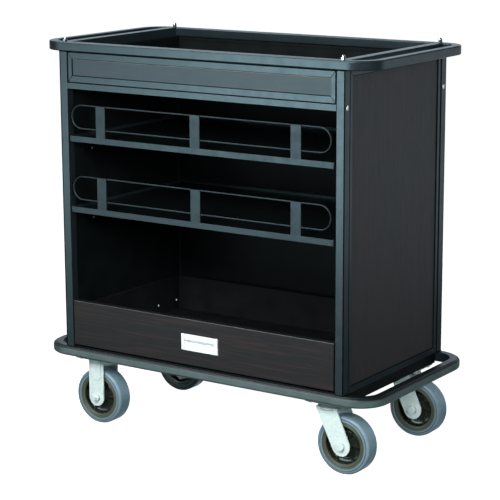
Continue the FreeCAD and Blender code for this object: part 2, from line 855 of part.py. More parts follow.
def pan_screw(name, seat, outward, head_radius, shank_radius, shank_length):
    """A pan-head screw along X. Its head sits on the seat point and points outward, +1 or -1."""
    x, y, z = seat
    cap_height = head_radius * PAN_HEIGHT
    sphere_radius = (head_radius * head_radius + cap_height * cap_height) / (2 * cap_height)
    ball = doc.addObject("Part::Sphere", f"{name}_ball")
    bind(ball, "Radius", sphere_radius)
    place(ball, x + outward * (cap_height - sphere_radius), y, z)
    low_x = x if outward > 0 else x - cap_height
    rim = cylinder(f"{name}_rim", (low_x, y, z), head_radius, cap_height, "x")
    head = doc.addObject("Part::Common", f"{name}_head")
    head.Base = ball
    head.Tool = rim
    shank_x = x - shank_length if outward > 0 else x
    shank = cylinder(f"{name}_shank", (shank_x, y, z), shank_radius, shank_length, "x")
    return fuse(name, head, shank)


def make_cabinet_screws():
    """Pan-head screws through the posts into the upper rails, and small ones in the liners."""
    screws = []
    for corner, sign_x, sign_y in CORNERS:
        seat = (sign_x * d.cabinet_half_x, sign_y * post_y, d.post_screw_z)
        screws.append(pan_screw(f"post_screw_{corner}", seat, sign_x, d.post_screw_head,
                                d.post_screw_shank, d.post_side - d.tube_wall))
    for name, sign, y, z in liner_screw_spots():
        screws.append(pan_screw(f"liner_screw_{name}", (sign * inside_x, y, z), -sign, d.liner_screw_head,
                                d.liner_screw_shank, d.liner_screw_length))
    keep(group("cabinet_screw_set", *screws), "cabinet_screws")


# ---------------------------------------------------------------- base

def make_base_ring():
    height = d.base_top - d.base_bottom
    rounded, core = hollow_ring("base_tube", d.base_half_x, d.base_half_y, d.base_radius, d.base_tube,
                                d.base_bottom, height, d.base_edge)
    middle_x = d.base_half_x - d.base_tube / 2
    middle_y = d.base_half_y - d.base_tube / 2
    spots = (("left", -middle_x, 0), ("right", middle_x, 0), ("front", 0, -middle_y), ("rear", 0, middle_y))
    drains = [cylinder(f"base_drain_{name}", (x, y, d.base_bottom - OVERCUT), d.base_drain,
                       d.tube_wall + 2 * OVERCUT)
              for name, x, y in spots]
    keep(cut("base_ring_cut", rounded, core, *drains), "base_ring")


def make_bumper():
    """A soft D-shaped band round the base."""
    band = ring_block("bumper_band", d.base_half_x + d.bumper_thick, d.base_half_y + d.bumper_thick,
                      d.base_radius + d.bumper_thick, d.bumper_thick, d.base_bottom, d.bumper_height)
    outer_y = d.base_half_y + d.bumper_thick
    outer_x = d.base_half_x + d.bumper_thick

    def on_outside(edge):
        if not lies_flat(edge):
            return False
        extents = edge.BoundBox
        reach_x = max(abs(extents.XMin), abs(extents.XMax))
        reach_y = max(abs(extents.YMin), abs(extents.YMax))
        return reach_x > outer_x.value - NEAR or reach_y > outer_y.value - NEAR

    keep(fillet("bumper_round_edges", band, d.bumper_round, on_outside), "base_bumper")


def make_cross_rails():
    """Four tubes across the base. The caster bolts pass through their lower walls."""
    rails = []
    span = 2 * (d.base_half_y - d.base_tube)
    height = d.base_top - d.cross_rail_bottom
    middle_z = (d.base_top + d.cross_rail_bottom) / 2
    outer_x = d.cabinet_half_x - d.cross_rail_inset - d.cross_rail_width / 2
    wall = 2 * d.cross_rail_wall
    for side, sign in SIDES:
        for place_name, x in (("outer", outer_x), ("inner", d.inner_rail_x)):
            name = f"cross_rail_{place_name}_{side}"
            outside = box(f"{name}_outside", (sign * x, 0, middle_z), (d.cross_rail_width, span, height))
            inside = box(f"{name}_inside", (sign * x, 0, middle_z),
                         (d.cross_rail_width - wall, span + 2 * OVERCUT, height - wall))
            bolt_x = d.caster_x + d.bolt_half_x if place_name == "outer" else d.caster_x - d.bolt_half_x
            holes = [cylinder(f"{name}_hole_{count}", (sign * bolt_x, y, d.cross_rail_bottom - OVERCUT),
                              d.bolt_hole, d.cross_rail_wall + 2 * OVERCUT)
                     for count, y in enumerate(caster_bolt_rows())]
            rails.append(cut(name, outside, inside, *holes))
    keep(group("cross_rail_set", *rails), "base_cross_rails")


def caster_bolt_rows():
    """The four Y positions of caster bolts, front to rear."""
    return [sign_y * d.caster_y + sign_row * d.bolt_half_y for sign_y in (-1, 1) for sign_row in (-1, 1)]


def make_deck():
    deck = block("deck_sheet", (-d.deck_half_x, d.deck_half_x), (-d.deck_half_y, d.deck_half_y),
                 (d.base_top, d.base_top + d.deck_thick))
    keep(deck, "base_deck")


# ---------------------------------------------------------------- drawer

def soften_front(name, base, radius):
    """Round the edges of a block's front face, which looks along -Y."""
    doc.recompute()
    face_y = base.Shape.BoundBox.YMin

    def on_front(edge):
        return lies_at_y(edge, face_y)

    return fillet(name, base, radius, on_front)


pull_low = d.pull_z - d.pull_height / 2
pull_high = d.pull_z + d.pull_height / 2
recess_low = pull_low + d.pull_sill
recess_high = pull_high - d.pull_band
recess_half = d.pull_width / 2 - d.pull_side
cup_back = d.pull_depth - d.pull_wall - d.cabinet_half_y
pull_screw_z = recess_low + d.pull_screw_rise
drawer_front_back = d.drawer_front - d.cabinet_half_y


def make_drawer_front():
    board = block("drawer_board_front", (-d.drawer_half_x, d.drawer_half_x),
                  (-d.cabinet_half_y, drawer_front_back), (d.drawer_bottom, d.drawer_top))
    eased = soften_front("drawer_front_eased", board, d.drawer_edge)
    gap = d.pull_wall + d.pull_clearance
    window = block("drawer_front_window", (d.pull_x - recess_half - gap, d.pull_x + recess_half + gap),
                   (-d.cabinet_half_y - OVERCUT, drawer_front_back + OVERCUT),
                   (recess_low - gap, recess_high + gap))
    keep(cut("drawer_front_cut", eased, window), "drawer_front")


def make_drawer_box():
    """Side, back and floor boards behind the drawer front."""
    height_range = (d.drawer_floor - d.drawer_skirt, d.drawer_box_top)
    inner_x = d.drawer_box_x - d.drawer_board
    sides = []
    holes = []
    for side, sign in SIDES:
        x_range = side_range(sign, inner_x, d.drawer_box_x)
        sides.append(block(f"drawer_board_{side}", x_range, (drawer_front_back, d.drawer_back),
                           height_range))
        for count, y in enumerate(DRAWER_SCREW_ROWS):
            holes.append(cylinder(f"drawer_screw_hole_{side}_{count}", (x_range[0] - OVERCUT, y, d.slide_z),
                                  d.drawer_screw_hole, d.drawer_board + 2 * OVERCUT, "x"))
    keep(cut("drawer_side_pair", group("drawer_side_blanks", *sides), *holes), "drawer_sides")
    back = block("drawer_board_back", (-inner_x, inner_x), (d.drawer_back - d.drawer_board, d.drawer_back),
                 height_range)
    keep(back, "drawer_back")
    floor = block("drawer_board_floor", (-inner_x, inner_x),
                  (drawer_front_back, d.drawer_back - d.drawer_board),
                  (d.drawer_floor, d.drawer_floor + d.drawer_floor_thick))
    keep(floor, "drawer_floor")


def make_drawer_pull():
    """A cast pull: a cup let into the drawer front, under a thick finger grip between two end caps."""
    half = d.pull_width / 2
    face = -d.cabinet_half_y
    plate = block("pull_face", (-half, half), (face - d.pull_plate, face), (pull_low, pull_high))
    cup_x = recess_half + d.pull_wall
    cup = block("pull_cup", (-cup_x, cup_x), (face - d.pull_plate, face + d.pull_depth),
                (recess_low - d.pull_wall, recess_high + d.pull_wall))
    solid = fuse("pull_solid", plate, cup)
    recess = block("pull_recess", (-recess_half, recess_half), (face - d.pull_plate - OVERCUT, cup_back),
                   (recess_low, recess_high))

    def floor_corner(edge):
        on_floor = lies_flat(edge) and abs(edge.BoundBox.ZMin - recess_low.value) < NEAR
        return on_floor and lies_at_y(edge, cup_back.value)

    scooped = fillet("pull_scoop", recess, d.pull_round, floor_corner)
    hole = cylinder("pull_screw_hole", (0, cup_back - OVERCUT, pull_screw_z), d.drawer_screw_hole,
                    d.pull_wall + 2 * OVERCUT, "y")
    shell = cut("pull_shell", solid, scooped, hole)
    pieces = [shell]
    for side, low_x, high_x in (("left", -half, -recess_half), ("right", recess_half, half)):
        cap = block(f"pull_cap_{side}", (low_x, high_x), (face - d.pull_cap, face), (pull_low, pull_high))
        pieces.append(soften_front(f"pull_cap_soft_{side}", cap, d.pull_cap_round))
    grip = block("pull_grip", (-recess_half, recess_half), (face - d.pull_cap + d.pull_grip_step, face),
                 (recess_high, pull_high))
    pieces.append(soften_front("pull_grip_soft", grip, d.pull_grip_round))
    keep(place(fuse("pull_joined", *pieces), d.pull_x), "drawer_pull")


def make_drawer_screws():
    """The screw in the pull's cup, and those that hold the inner slide members."""
    inner_x = d.drawer_box_x - d.drawer_board
    screws = []
    for side, sign in SIDES:
        for count, y in enumerate(DRAWER_SCREW_ROWS):
            screws.append(pan_screw(f"drawer_screw_{side}_{count}", (sign * inner_x, as_size(y), d.slide_z),
                                    -sign, d.drawer_screw_head, d.drawer_screw_shank, d.drawer_board))
    head = cylinder("pull_screw_head", (d.pull_x, cup_back - d.pull_screw_head_height, pull_screw_z),
                    d.pull_screw_head, d.pull_screw_head_height, "y")
    shank = cylinder("pull_screw_shank", (d.pull_x, cup_back - OVERCUT, pull_screw_z), d.drawer_screw_shank,
                     d.pull_screw_length, "y")
    screws.append(fuse("pull_screw", head, shank))
    keep(group("drawer_screw_set", *screws), "drawer_screws")


def channel(name, web_x, flange_x, half_height):
    """A C-channel along Y. Its web stands at web_x and its flanges reach to flange_x."""
    start_y = -inside_y
    end_y = start_y + d.slide_length
    core = half_height - d.slide_sheet
    if web_x.value < flange_x.value:
        outside_x = (web_x, flange_x)
        core_x = (web_x + d.slide_sheet, flange_x + OVERCUT)
    else:
        outside_x = (flange_x, web_x)
        core_x = (flange_x - OVERCUT, web_x - d.slide_sheet)
    outside = block(f"{name}_outside", outside_x, (start_y, end_y),
                    (d.slide_z - half_height, d.slide_z + half_height))
    inside = block(f"{name}_inside", core_x, (start_y - OVERCUT, end_y + OVERCUT),
                   (d.slide_z - core, d.slide_z + core))
    return cut(name, outside, inside)


def make_slides():
    """A three-part telescopic slide on each side of the drawer."""
    half = d.slide_height / 2
    members = (
        ("outer", d.slide_outer_x, d.slide_outer_x - d.slide_outer_depth, half),
        ("middle", d.slide_middle_x, d.slide_middle_x - d.slide_middle_depth, half - d.slide_step),
        ("inner", d.drawer_box_x, d.drawer_box_x + d.slide_inner_depth, half - 2 * d.slide_step),
    )
    for name, web_x, flange_x, half_height in members:
        pair = [channel(f"slide_{name}_{side}", sign * web_x, sign * flange_x, half_height)
                for side, sign in SIDES]
        keep(group(f"slide_{name}_pair", *pair), f"slide_{name}_members")


# ---------------------------------------------------------------- casters

plate_bottom = d.cross_rail_bottom - d.plate_thick
CASTERS = (
    ("front_left", -1, -1),
    ("rear_left", -1, 1),
    ("front_right", 1, -1),
    ("rear_right", 1, 1),
)


def top_plate(name):
    """The caster's top plate about its own centre, with four bolt holes."""
    sketch = free_sketch(f"{name}_outline", z=plate_bottom)
    draw_rounded_rectangle(sketch, d.plate_long / 2, d.plate_wide / 2, d.plate_corner)
    for sign_x in (-1, 1):
        for sign_y in (-1, 1):
            draw_circle(sketch, sign_x * d.bolt_half_x, sign_y * d.bolt_half_y, d.bolt_hole)
    return extrude(name, sketch, d.plate_thick)


def make_rigid_forks():
    """A plate with two straight legs, each with a raised tongue that stiffens it."""
    for corner, sign_x, sign_y in CASTERS[:2]:
        pieces = [top_plate(f"rigid_plate_{corner}")]
        holes = []
        for face, sign in (("near", -1), ("far", 1)):
            tag = f"{corner}_{face}"
            middle_y = sign * (d.fork_half - d.fork_sheet / 2)
            start_y = middle_y - d.fork_sheet / 2
            pieces.append(box(f"rigid_leg_{tag}", (0, middle_y, (d.wheel_radius + plate_bottom) / 2),
                              (2 * d.rigid_leg_half, d.fork_sheet, plate_bottom - d.wheel_radius)))
            pieces.append(cylinder(f"rigid_foot_{tag}", (0, start_y, d.wheel_radius), d.rigid_leg_half,
                                   d.fork_sheet, "y"))
            tongue_low = d.emboss_bottom + d.emboss_half
            tongue_y = sign * (d.fork_half + d.emboss_rise / 2)
            tongue_start = tongue_y - d.emboss_rise / 2
            pieces.append(box(f"rigid_tongue_{tag}", (0, tongue_y, (tongue_low + plate_bottom) / 2),
                              (2 * d.emboss_half, d.emboss_rise, plate_bottom - tongue_low)))
            pieces.append(cylinder(f"rigid_tongue_end_{tag}", (0, tongue_start, tongue_low),
                                   d.emboss_half, d.emboss_rise, "y"))
            holes.append(cylinder(f"rigid_axle_hole_{tag}", (0, start_y - OVERCUT, d.wheel_radius),
                                  d.axle_radius + d.axle_clearance, d.fork_sheet + 2 * OVERCUT, "y"))
        fork = cut(f"rigid_fork_{corner}", fuse(f"rigid_solid_{corner}", *pieces), *holes)
        keep(place(fork, sign_x * d.caster_x, sign_y * d.caster_y), f"fork_{corner}")


def swivel_leg(name, start_y):
    """A leg that leans back from the pivot to the axle, with a round foot."""
    lean = math.radians(LEG_LEAN)
    foot = d.fork_end
    axle = d.caster_trail
    sketch = free_sketch(f"{name}_outline", y=start_y, turn=Rotation(Vector(1, 0, 0), 90))
    draw_polygon(sketch, (
        (-d.crown_rear, d.fork_crown_top - d.fork_crown_thick),
        (d.crown_front, d.fork_crown_top - d.fork_crown_thick),
        (axle + foot, d.wheel_radius + d.leg_shoulder),
        (axle + foot, d.wheel_radius),
        (axle - foot * math.cos(lean), d.wheel_radius - foot * math.sin(lean)),
    ))
    blade = extrude(f"{name}_blade", sketch, d.fork_sheet)
    round_foot = cylinder(f"{name}_foot", (axle, start_y - d.fork_sheet, d.wheel_radius), foot,
                          d.fork_sheet, "y")
    return blade, round_foot


def make_swivel_forks():
    """A crown that turns on the king pin, with two leaning legs."""
    crown_bottom = d.fork_crown_top - d.fork_crown_thick
    for corner, sign_x, sign_y in CASTERS[2:]:
        pieces = [
            cylinder(f"crown_{corner}", (0, 0, crown_bottom), d.race_radius, d.fork_crown_thick),
            block(f"crown_bridge_{corner}", (-d.crown_rear, d.crown_front), (-d.fork_half, d.fork_half),
                  (crown_bottom, d.fork_crown_top)),
        ]
        holes = [cylinder(f"crown_hole_{corner}", (0, 0, crown_bottom - OVERCUT),
                          d.kingpin_radius + d.axle_clearance, d.fork_crown_thick + 2 * OVERCUT)]
        for face, sign in (("near", -1), ("far", 1)):
            tag = f"{corner}_{face}"
            outer_y = d.fork_half if sign > 0 else d.fork_sheet - d.fork_half
            pieces.extend(swivel_leg(f"swivel_leg_{tag}", outer_y))
            holes.append(cylinder(f"swivel_axle_hole_{tag}",
                                  (d.caster_trail, outer_y - d.fork_sheet - OVERCUT, d.wheel_radius),
                                  d.axle_radius + d.axle_clearance, d.fork_sheet + 2 * OVERCUT, "y"))
        fork = cut(f"swivel_fork_{corner}", fuse(f"swivel_solid_{corner}", *pieces), *holes)
        keep(place(fork, sign_x * d.caster_x, sign_y * d.caster_y), f"fork_{corner}")


def make_swivel_plates():
    """The fixed half of each swivel caster: a bolted plate with the upper ball race below it."""
    plates = []
    race_bottom = d.fork_crown_top + d.race_gap
    for corner, sign_x, sign_y in CASTERS[2:]:
        race = doc.addObject("Part::Cone", f"race_{corner}")
        bind(race, "Radius1", d.race_radius - d.race_taper)
        bind(race, "Radius2", d.race_radius)
        bind(race, "Height", plate_bottom - race_bottom)
        place(race, 0, 0, race_bottom)
        bore = cylinder(f"race_bore_{corner}", (0, 0, d.fork_crown_top),
                        d.kingpin_radius + d.race_clearance,
                        d.cross_rail_bottom - d.fork_crown_top + OVERCUT)
        plate = cut(f"swivel_plate_{corner}", fuse(f"swivel_plate_solid_{corner}", race,
                                                   top_plate(f"swivel_top_{corner}")), bore)
        plates.append(place(plate, sign_x * d.caster_x, sign_y * d.caster_y))
    keep(group("swivel_plate_pair", *plates), "swivel_plates")


def make_caster_bolts():
    """Hexagon bolts and nuts that hold the caster plates, and the two king pins."""
    fasteners = []
    grip_top = d.cross_rail_bottom + d.cross_rail_wall
    for corner, sign_x, sign_y in CASTERS:
        for hole, (row_x, row_y) in enumerate(((-1, -1), (-1, 1), (1, -1), (1, 1))):
            x = sign_x * d.caster_x + row_x * d.bolt_half_x
            y = sign_y * d.caster_y + row_y * d.bolt_half_y
            tag = f"{corner}_{hole}"
            head = hexagon(f"bolt_head_{tag}", (x, y, plate_bottom - d.bolt_head),
                           d.bolt_flats, d.bolt_head)
            shank = cylinder(f"bolt_shank_{tag}", (x, y, plate_bottom - OVERCUT), d.bolt_radius,
                             OVERCUT + d.plate_thick + d.cross_rail_wall + d.nut_height + d.bolt_end)
            nut = hexagon(f"bolt_nut_{tag}", (x, y, grip_top), d.bolt_flats, d.nut_height)
            fasteners.append(fuse(f"bolt_{tag}", head, shank, nut))
    head_top = d.fork_crown_top - d.fork_crown_thick - d.kingpin_gap
    for corner, sign_x, sign_y in CASTERS[2:]:
        x = sign_x * d.caster_x
        y = sign_y * d.caster_y
        head = hexagon(f"kingpin_head_{corner}", (x, y, head_top - d.kingpin_head), d.kingpin_flats,
                       d.kingpin_head)
        shank = cylinder(f"kingpin_shank_{corner}", (x, y, head_top - OVERCUT), d.kingpin_radius,
                         d.cross_rail_bottom - head_top + OVERCUT)
        fasteners.append(fuse(f"kingpin_{corner}", head, shank))
    keep(group("caster_bolt_set", *fasteners), "caster_bolts")


def axle_bolt(name):
    """A bolt along Y through both fork legs, with its head at -Y and its nut at +Y."""
    head = hexagon(f"{name}_head", (0, -d.fork_half - d.axle_head, 0), d.axle_flats, d.axle_head, "y")
    shank = cylinder(f"{name}_shank", (0, -d.fork_half - OVERCUT, 0), d.axle_radius,
                     OVERCUT + 2 * d.fork_half + d.axle_head + d.axle_end, "y")
    nut = hexagon(f"{name}_nut", (0, d.fork_half, 0), d.axle_flats, d.axle_head, "y")
    return fuse(name, head, shank, nut)


def make_axles():
    nut_forward = Rotation(Vector(0, 0, 1), 180)
    rigid = [place(axle_bolt(f"axle_bolt_{corner}"), sign_x * d.caster_x, sign_y * d.caster_y,
                   d.wheel_radius, nut_forward)
             for corner, sign_x, sign_y in CASTERS[:2]]
    keep(group("rigid_axle_pair", *rigid), "rigid_axles")
    for corner, sign_x, sign_y in CASTERS[2:]:
        bolt = axle_bolt(f"axle_bolt_{corner}")
        place(bolt, sign_x * d.caster_x + d.caster_trail, sign_y * d.caster_y, d.wheel_radius)
        keep(bolt, f"axle_{corner}")


def make_tyre(corner, x, y):
    """A rubber tyre with a shallow groove in each side wall."""
    body = new_body(f"tyre_body_{corner}")
    profile = body_sketch(body, "XZ_Plane", f"tyre_profile_{corner}")
    half = d.tyre_half
    floor = half - d.groove_depth
    groove_low = d.tyre_seat + d.groove_rise
    groove_high = groove_low + d.groove_width
    draw_polygon(profile, (
        (d.tyre_seat, -half), (groove_low, -half), (groove_low, -floor), (groove_high, -floor),
        (groove_high, -half), (d.wheel_radius, -half), (d.wheel_radius, half), (groove_high, half),
        (groove_high, floor), (groove_low, floor), (groove_low, half), (d.tyre_seat, half),
    ))
    turned = revolve(body, f"tyre_turned_{corner}", profile)
    doc.recompute()
    tread = d.wheel_radius.value
    shoulders = [f"Edge{n}" for n, edge in enumerate(turned.Shape.Edges, start=1)
                 if hasattr(edge.Curve, "Radius") and abs(edge.Curve.Radius - tread) < NEAR]
    rounded = body.newObject("PartDesign::Fillet", f"tyre_shoulders_{corner}")
    rounded.Base = (turned, shoulders)
    bind(rounded, "Radius", d.tyre_shoulder)
    keep(place(body, x, y, d.wheel_radius, AXIS_TURN["y"]), f"tyre_{corner}")


def make_hub(corner, x, y):
    """A moulded hub: a sloping rim, a dished web with ribs, and a boss for the bearing."""
    body = new_body(f"hub_body_{corner}")
    profile = body_sketch(body, "XZ_Plane", f"hub_profile_{corner}")
    lip = d.hub_half - d.hub_lip_drop
    slope = d.hub_chamfer
    upper = (
        (d.hub_boss - slope / 2, d.hub_boss_half), (d.hub_boss, d.hub_web), (d.hub_recess, d.hub_web),
        (d.hub_recess + slope, lip), (d.hub_lip, lip + slope / 2), (d.tyre_seat - slope, d.hub_half),
        (d.tyre_seat, d.hub_half),
    )
    outline = [(d.bearing_radius, -d.hub_boss_half)]
    outline += [(r, -height) for r, height in upper]
    outline += [(r, height) for r, height in reversed(upper)]
    outline += [(d.bearing_radius, d.hub_boss_half)]
    draw_polygon(profile, outline)
    revolve(body, f"hub_turned_{corner}", profile)
    rib_sketch = body_sketch(body, "XY_Plane", f"hub_rib_outline_{corner}")
    near = d.hub_boss - slope
    far = d.hub_recess + slope / 2
    half = d.rib_thick / 2
    draw_polygon(rib_sketch, ((near, -half), (far, -half), (far, half), (near, half)))
    rib = pad(body, f"hub_rib_{corner}", rib_sketch, 2 * (d.hub_web + d.rib_rise), both_sides=True)
    doc.recompute()
    pattern = body.newObject("PartDesign::PolarPattern", f"hub_ribs_{corner}")
    pattern.Originals = [rib]
    pattern.Axis = (rib_sketch, ["N_Axis"])
    pattern.Angle = 360
    pattern.Occurrences = WHEEL_RIBS
    body.Tip = pattern
    keep(place(body, x, y, d.wheel_radius, AXIS_TURN["y"]), f"hub_{corner}")


def make_bearing(corner, x, y):
    """A plain roller sleeve pressed into the hub."""
    body = new_body(f"bearing_body_{corner}")
    ring = body_sketch(body, "XY_Plane", f"bearing_ring_{corner}")
    draw_circle(ring, 0, 0, d.bearing_radius)
    draw_circle(ring, 0, 0, d.axle_radius + d.axle_clearance)
    pad(body, f"bearing_pad_{corner}", ring, 2 * (d.hub_boss_half + d.bearing_stand), both_sides=True)
    keep(place(body, x, y, d.wheel_radius, AXIS_TURN["y"]), f"bearing_{corner}")


def make_wheels():
    for corner, sign_x, sign_y in CASTERS:
        x = sign_x * d.caster_x + (d.caster_trail if sign_x > 0 else 0)
        y = sign_y * d.caster_y
        make_tyre(corner, x, y)
        make_hub(corner, x, y)
        make_bearing(corner, x, y)


# ---------------------------------------------------------------- build, check and write

def check_document():
    """Stop if any object failed, or if any sub-part is empty or not valid."""
    doc.recompute()
    for obj in doc.Objects:
        if "Invalid" in obj.State or "Error" in obj.State:
            raise RuntimeError(f"{obj.Name} failed: {obj.State}")
    for obj in subparts:
        if obj.Shape.isNull() or not obj.Shape.isValid() or not obj.Shape.Solids:
            raise RuntimeError(f"{obj.Label} has no valid solid")


def write_subparts():
    os.makedirs("parts", exist_ok=True)
    for obj in subparts:
        obj.Shape.exportStep(f"parts/{obj.Label}.step")
        print(obj.Label, "solids", len(obj.Shape.Solids), "volume", round(obj.Shape.Volume), "mm3")


make_posts()
make_top_ring()
make_cross_bars()
make_corner_fasteners()
make_apron()
make_end_panels()
make_liners()
make_back()
make_frame_rails()
make_top_bin()
make_shelves()
make_guard_straps()
make_guard_wires()
make_shelf_cleats()
make_cabinet_screws()
make_base_ring()
make_bumper()
make_cross_rails()
make_deck()
make_drawer_front()
make_drawer_box()
make_drawer_pull()
make_drawer_screws()
make_slides()
make_rigid_forks()
make_swivel_forks()
make_swivel_plates()
make_caster_bolts()
make_axles()
make_wheels()
check_document()
write_subparts()
print("sub-parts:", len(subparts))
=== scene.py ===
import json
import math

import bmesh
import bpy
from mathutils import Matrix, Vector


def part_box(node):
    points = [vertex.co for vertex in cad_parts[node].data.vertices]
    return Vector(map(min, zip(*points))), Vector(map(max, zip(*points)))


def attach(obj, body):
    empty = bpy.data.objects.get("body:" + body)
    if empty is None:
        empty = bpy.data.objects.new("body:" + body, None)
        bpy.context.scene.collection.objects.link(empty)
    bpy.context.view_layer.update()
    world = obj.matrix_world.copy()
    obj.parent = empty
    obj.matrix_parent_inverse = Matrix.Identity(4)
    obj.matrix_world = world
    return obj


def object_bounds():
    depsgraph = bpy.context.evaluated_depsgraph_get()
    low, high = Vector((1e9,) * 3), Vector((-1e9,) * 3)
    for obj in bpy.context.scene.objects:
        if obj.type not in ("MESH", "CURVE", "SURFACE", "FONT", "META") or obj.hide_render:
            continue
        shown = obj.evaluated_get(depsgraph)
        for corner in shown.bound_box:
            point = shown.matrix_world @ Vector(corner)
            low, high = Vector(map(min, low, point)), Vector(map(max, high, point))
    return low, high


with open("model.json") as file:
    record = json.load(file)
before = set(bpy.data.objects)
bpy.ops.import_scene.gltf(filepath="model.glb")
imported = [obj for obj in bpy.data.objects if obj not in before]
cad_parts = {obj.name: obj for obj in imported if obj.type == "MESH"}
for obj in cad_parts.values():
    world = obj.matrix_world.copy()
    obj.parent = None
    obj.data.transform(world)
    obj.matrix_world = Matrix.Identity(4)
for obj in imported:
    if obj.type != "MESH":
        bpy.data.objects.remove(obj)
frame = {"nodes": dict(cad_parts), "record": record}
cad_low, cad_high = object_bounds()
nodes = frame["nodes"]

MM = 0.001

# sizes and places on the CAD part that its boxes don't give, in millimetres
POST_SCREW_Y = 240
POST_SCREW_Z = 922
STRAP_HALF = 14.5
WIRE_RADIUS = 2.1
FORK_HALF = 32.5
SWIVEL_AXIS_X = 365
TONGUE_HALF = 17.1
TONGUE_TOP = 182
TONGUE_ROUND_Z = 138.5
RACE_GROOVES = ((38.2, 169.9), (36.5, 164.4))
FRAME_RAIL = 15.9
FRAME_STEP = 4.5
GASKET_HALF = 0.9
GASKET_RISE = 2.2


# ---------------------------------------------------------------- materials

class Finish:
    """A Principled material. Even values sit on the shader's own sockets, and noise feeds the rest."""

    def __init__(self, name, **values):
        self.material = bpy.data.materials.new(name)
        self.material.use_nodes = True
        self.tree = self.material.node_tree
        self.shader = self.tree.nodes["Principled BSDF"]
        for socket, value in values.items():
            self.shader.inputs[socket.replace("_", " ")].default_value = value
        self.place = self.tree.nodes.new("ShaderNodeTexCoord").outputs["Object"]

    def link(self, source, target):
        self.tree.links.new(source, target)

    def stretched(self, scale):
        """The place on the object, stretched by a scale per axis."""
        node = self.tree.nodes.new("ShaderNodeVectorMath")
        node.operation = "MULTIPLY"
        node.inputs[1].default_value = scale
        self.link(self.place, node.inputs[0])
        return node.outputs[0]

    def noise(self, size, detail=3, roughness=0.5, stretch=(1, 1, 1), distortion=0):
        """Noise whose features are about size metres across."""
        node = self.tree.nodes.new("ShaderNodeTexNoise")
        node.inputs["Scale"].default_value = 1
        node.inputs["Detail"].default_value = detail
        node.inputs["Roughness"].default_value = roughness
        node.inputs["Distortion"].default_value = distortion
        self.link(self.stretched([axis / size for axis in stretch]), node.inputs["Vector"])
        return node.outputs["Fac"]

    def cells(self, size):
        """Irregular cells about size metres across, each with its own grey."""
        node = self.tree.nodes.new("ShaderNodeTexVoronoi")
        node.inputs["Scale"].default_value = 1
        self.link(self.stretched([1 / size] * 3), node.inputs["Vector"])
        grey = self.tree.nodes.new("ShaderNodeRGBToBW")
        self.link(node.outputs["Color"], grey.inputs[0])
        return grey.outputs[0]

    def ramp(self, factor, *stops):
        """Colours along a factor, as (position, (r, g, b)) pairs."""
        node = self.tree.nodes.new("ShaderNodeValToRGB")
        elements = node.color_ramp.elements
        for spare in range(len(stops) - 2):
            elements.new(0.5)
        for element, (position, colour) in zip(elements, stops):
            element.position = position
            element.color = (*colour, 1)
        self.link(factor, node.inputs[0])
        return node.outputs[0]

    def spread(self, factor, low, high, start=0.3, end=0.7):
        """A factor mapped from start..end to low..high."""
        node = self.tree.nodes.new("ShaderNodeMapRange")
        for socket, value in zip(("From Min", "From Max", "To Min", "To Max"), (start, end, low, high)):
            node.inputs[socket].default_value = value
        self.link(factor, node.inputs[0])
        return node.outputs[0]

    def mix(self, factor, first, second, blend="MIX"):
        """Two colours mixed by a factor, which may be a number."""
        node = self.tree.nodes.new("ShaderNodeMix")
        node.data_type = "RGBA"
        node.blend_type = blend
        for socket, value in ((node.inputs[0], factor), (node.inputs[6], first), (node.inputs[7], second)):
            if isinstance(value, bpy.types.NodeSocket):
                self.link(value, socket)
            elif isinstance(value, tuple):
                socket.default_value = (*value, 1)
            else:
                socket.default_value = value
        return node.outputs[2]

    def top_shade_mask(self, start=0.5, end=0.9):
        """One on level top faces, nothing on upright ones: the mask that paints shade on top faces."""
        split = self.tree.nodes.new("ShaderNodeSeparateXYZ")
        self.link(self.place.node.outputs["Normal"], split.inputs[0])
        return self.spread(split.outputs["Z"], 0, 1, start, end)

    def colour(self, source):
        self.link(source, self.shader.inputs["Base Color"])
        return self

    def rough(self, source):
        self.link(source, self.shader.inputs["Roughness"])
        return self

    def bump(self, *layers):
        """Bumps laid over one another, as (height, depth in metres) pairs."""
        below = None
        for height, depth in layers:
            node = self.tree.nodes.new("ShaderNodeBump")
            node.inputs["Strength"].default_value = 1
            node.inputs["Distance"].default_value = depth
            self.link(height, node.inputs["Height"])
            if below is not None:
                self.link(below, node.inputs["Normal"])
            below = node.outputs[0]
        self.link(below, self.shader.inputs["Normal"])
        return self.material


def powder_coat(name, dark, light, rough_low, rough_high, specular=0.5, level=None):
    """Sprayed and baked paint, with a fine orange peel and faint rubbed patches. Level faces may take
    another colour, which is painted shade on top faces.
    """
    paint = Finish(name)
    paint.shader.inputs["Specular Tint"].default_value = (0.72, 0.93, 1, 1)
    paint.shader.inputs["Specular IOR Level"].default_value = specular
    patches = paint.noise(0.09, 4)
    paint_and_top_shade = paint.ramp(patches, (0.3, dark), (0.7, light))
    # painted shade: with a level colour given, faces that look up take it in place of the paint colour
    if level is not None:
        paint_and_top_shade = paint.mix(paint.top_shade_mask(), paint_and_top_shade, level)
    paint.colour(paint_and_top_shade)
    paint.rough(paint.spread(paint.noise(0.02, 4), rough_low, rough_high))
    return paint.bump((paint.noise(0.0016, 2), 0.00003), (paint.noise(0.012, 2), 0.00005))


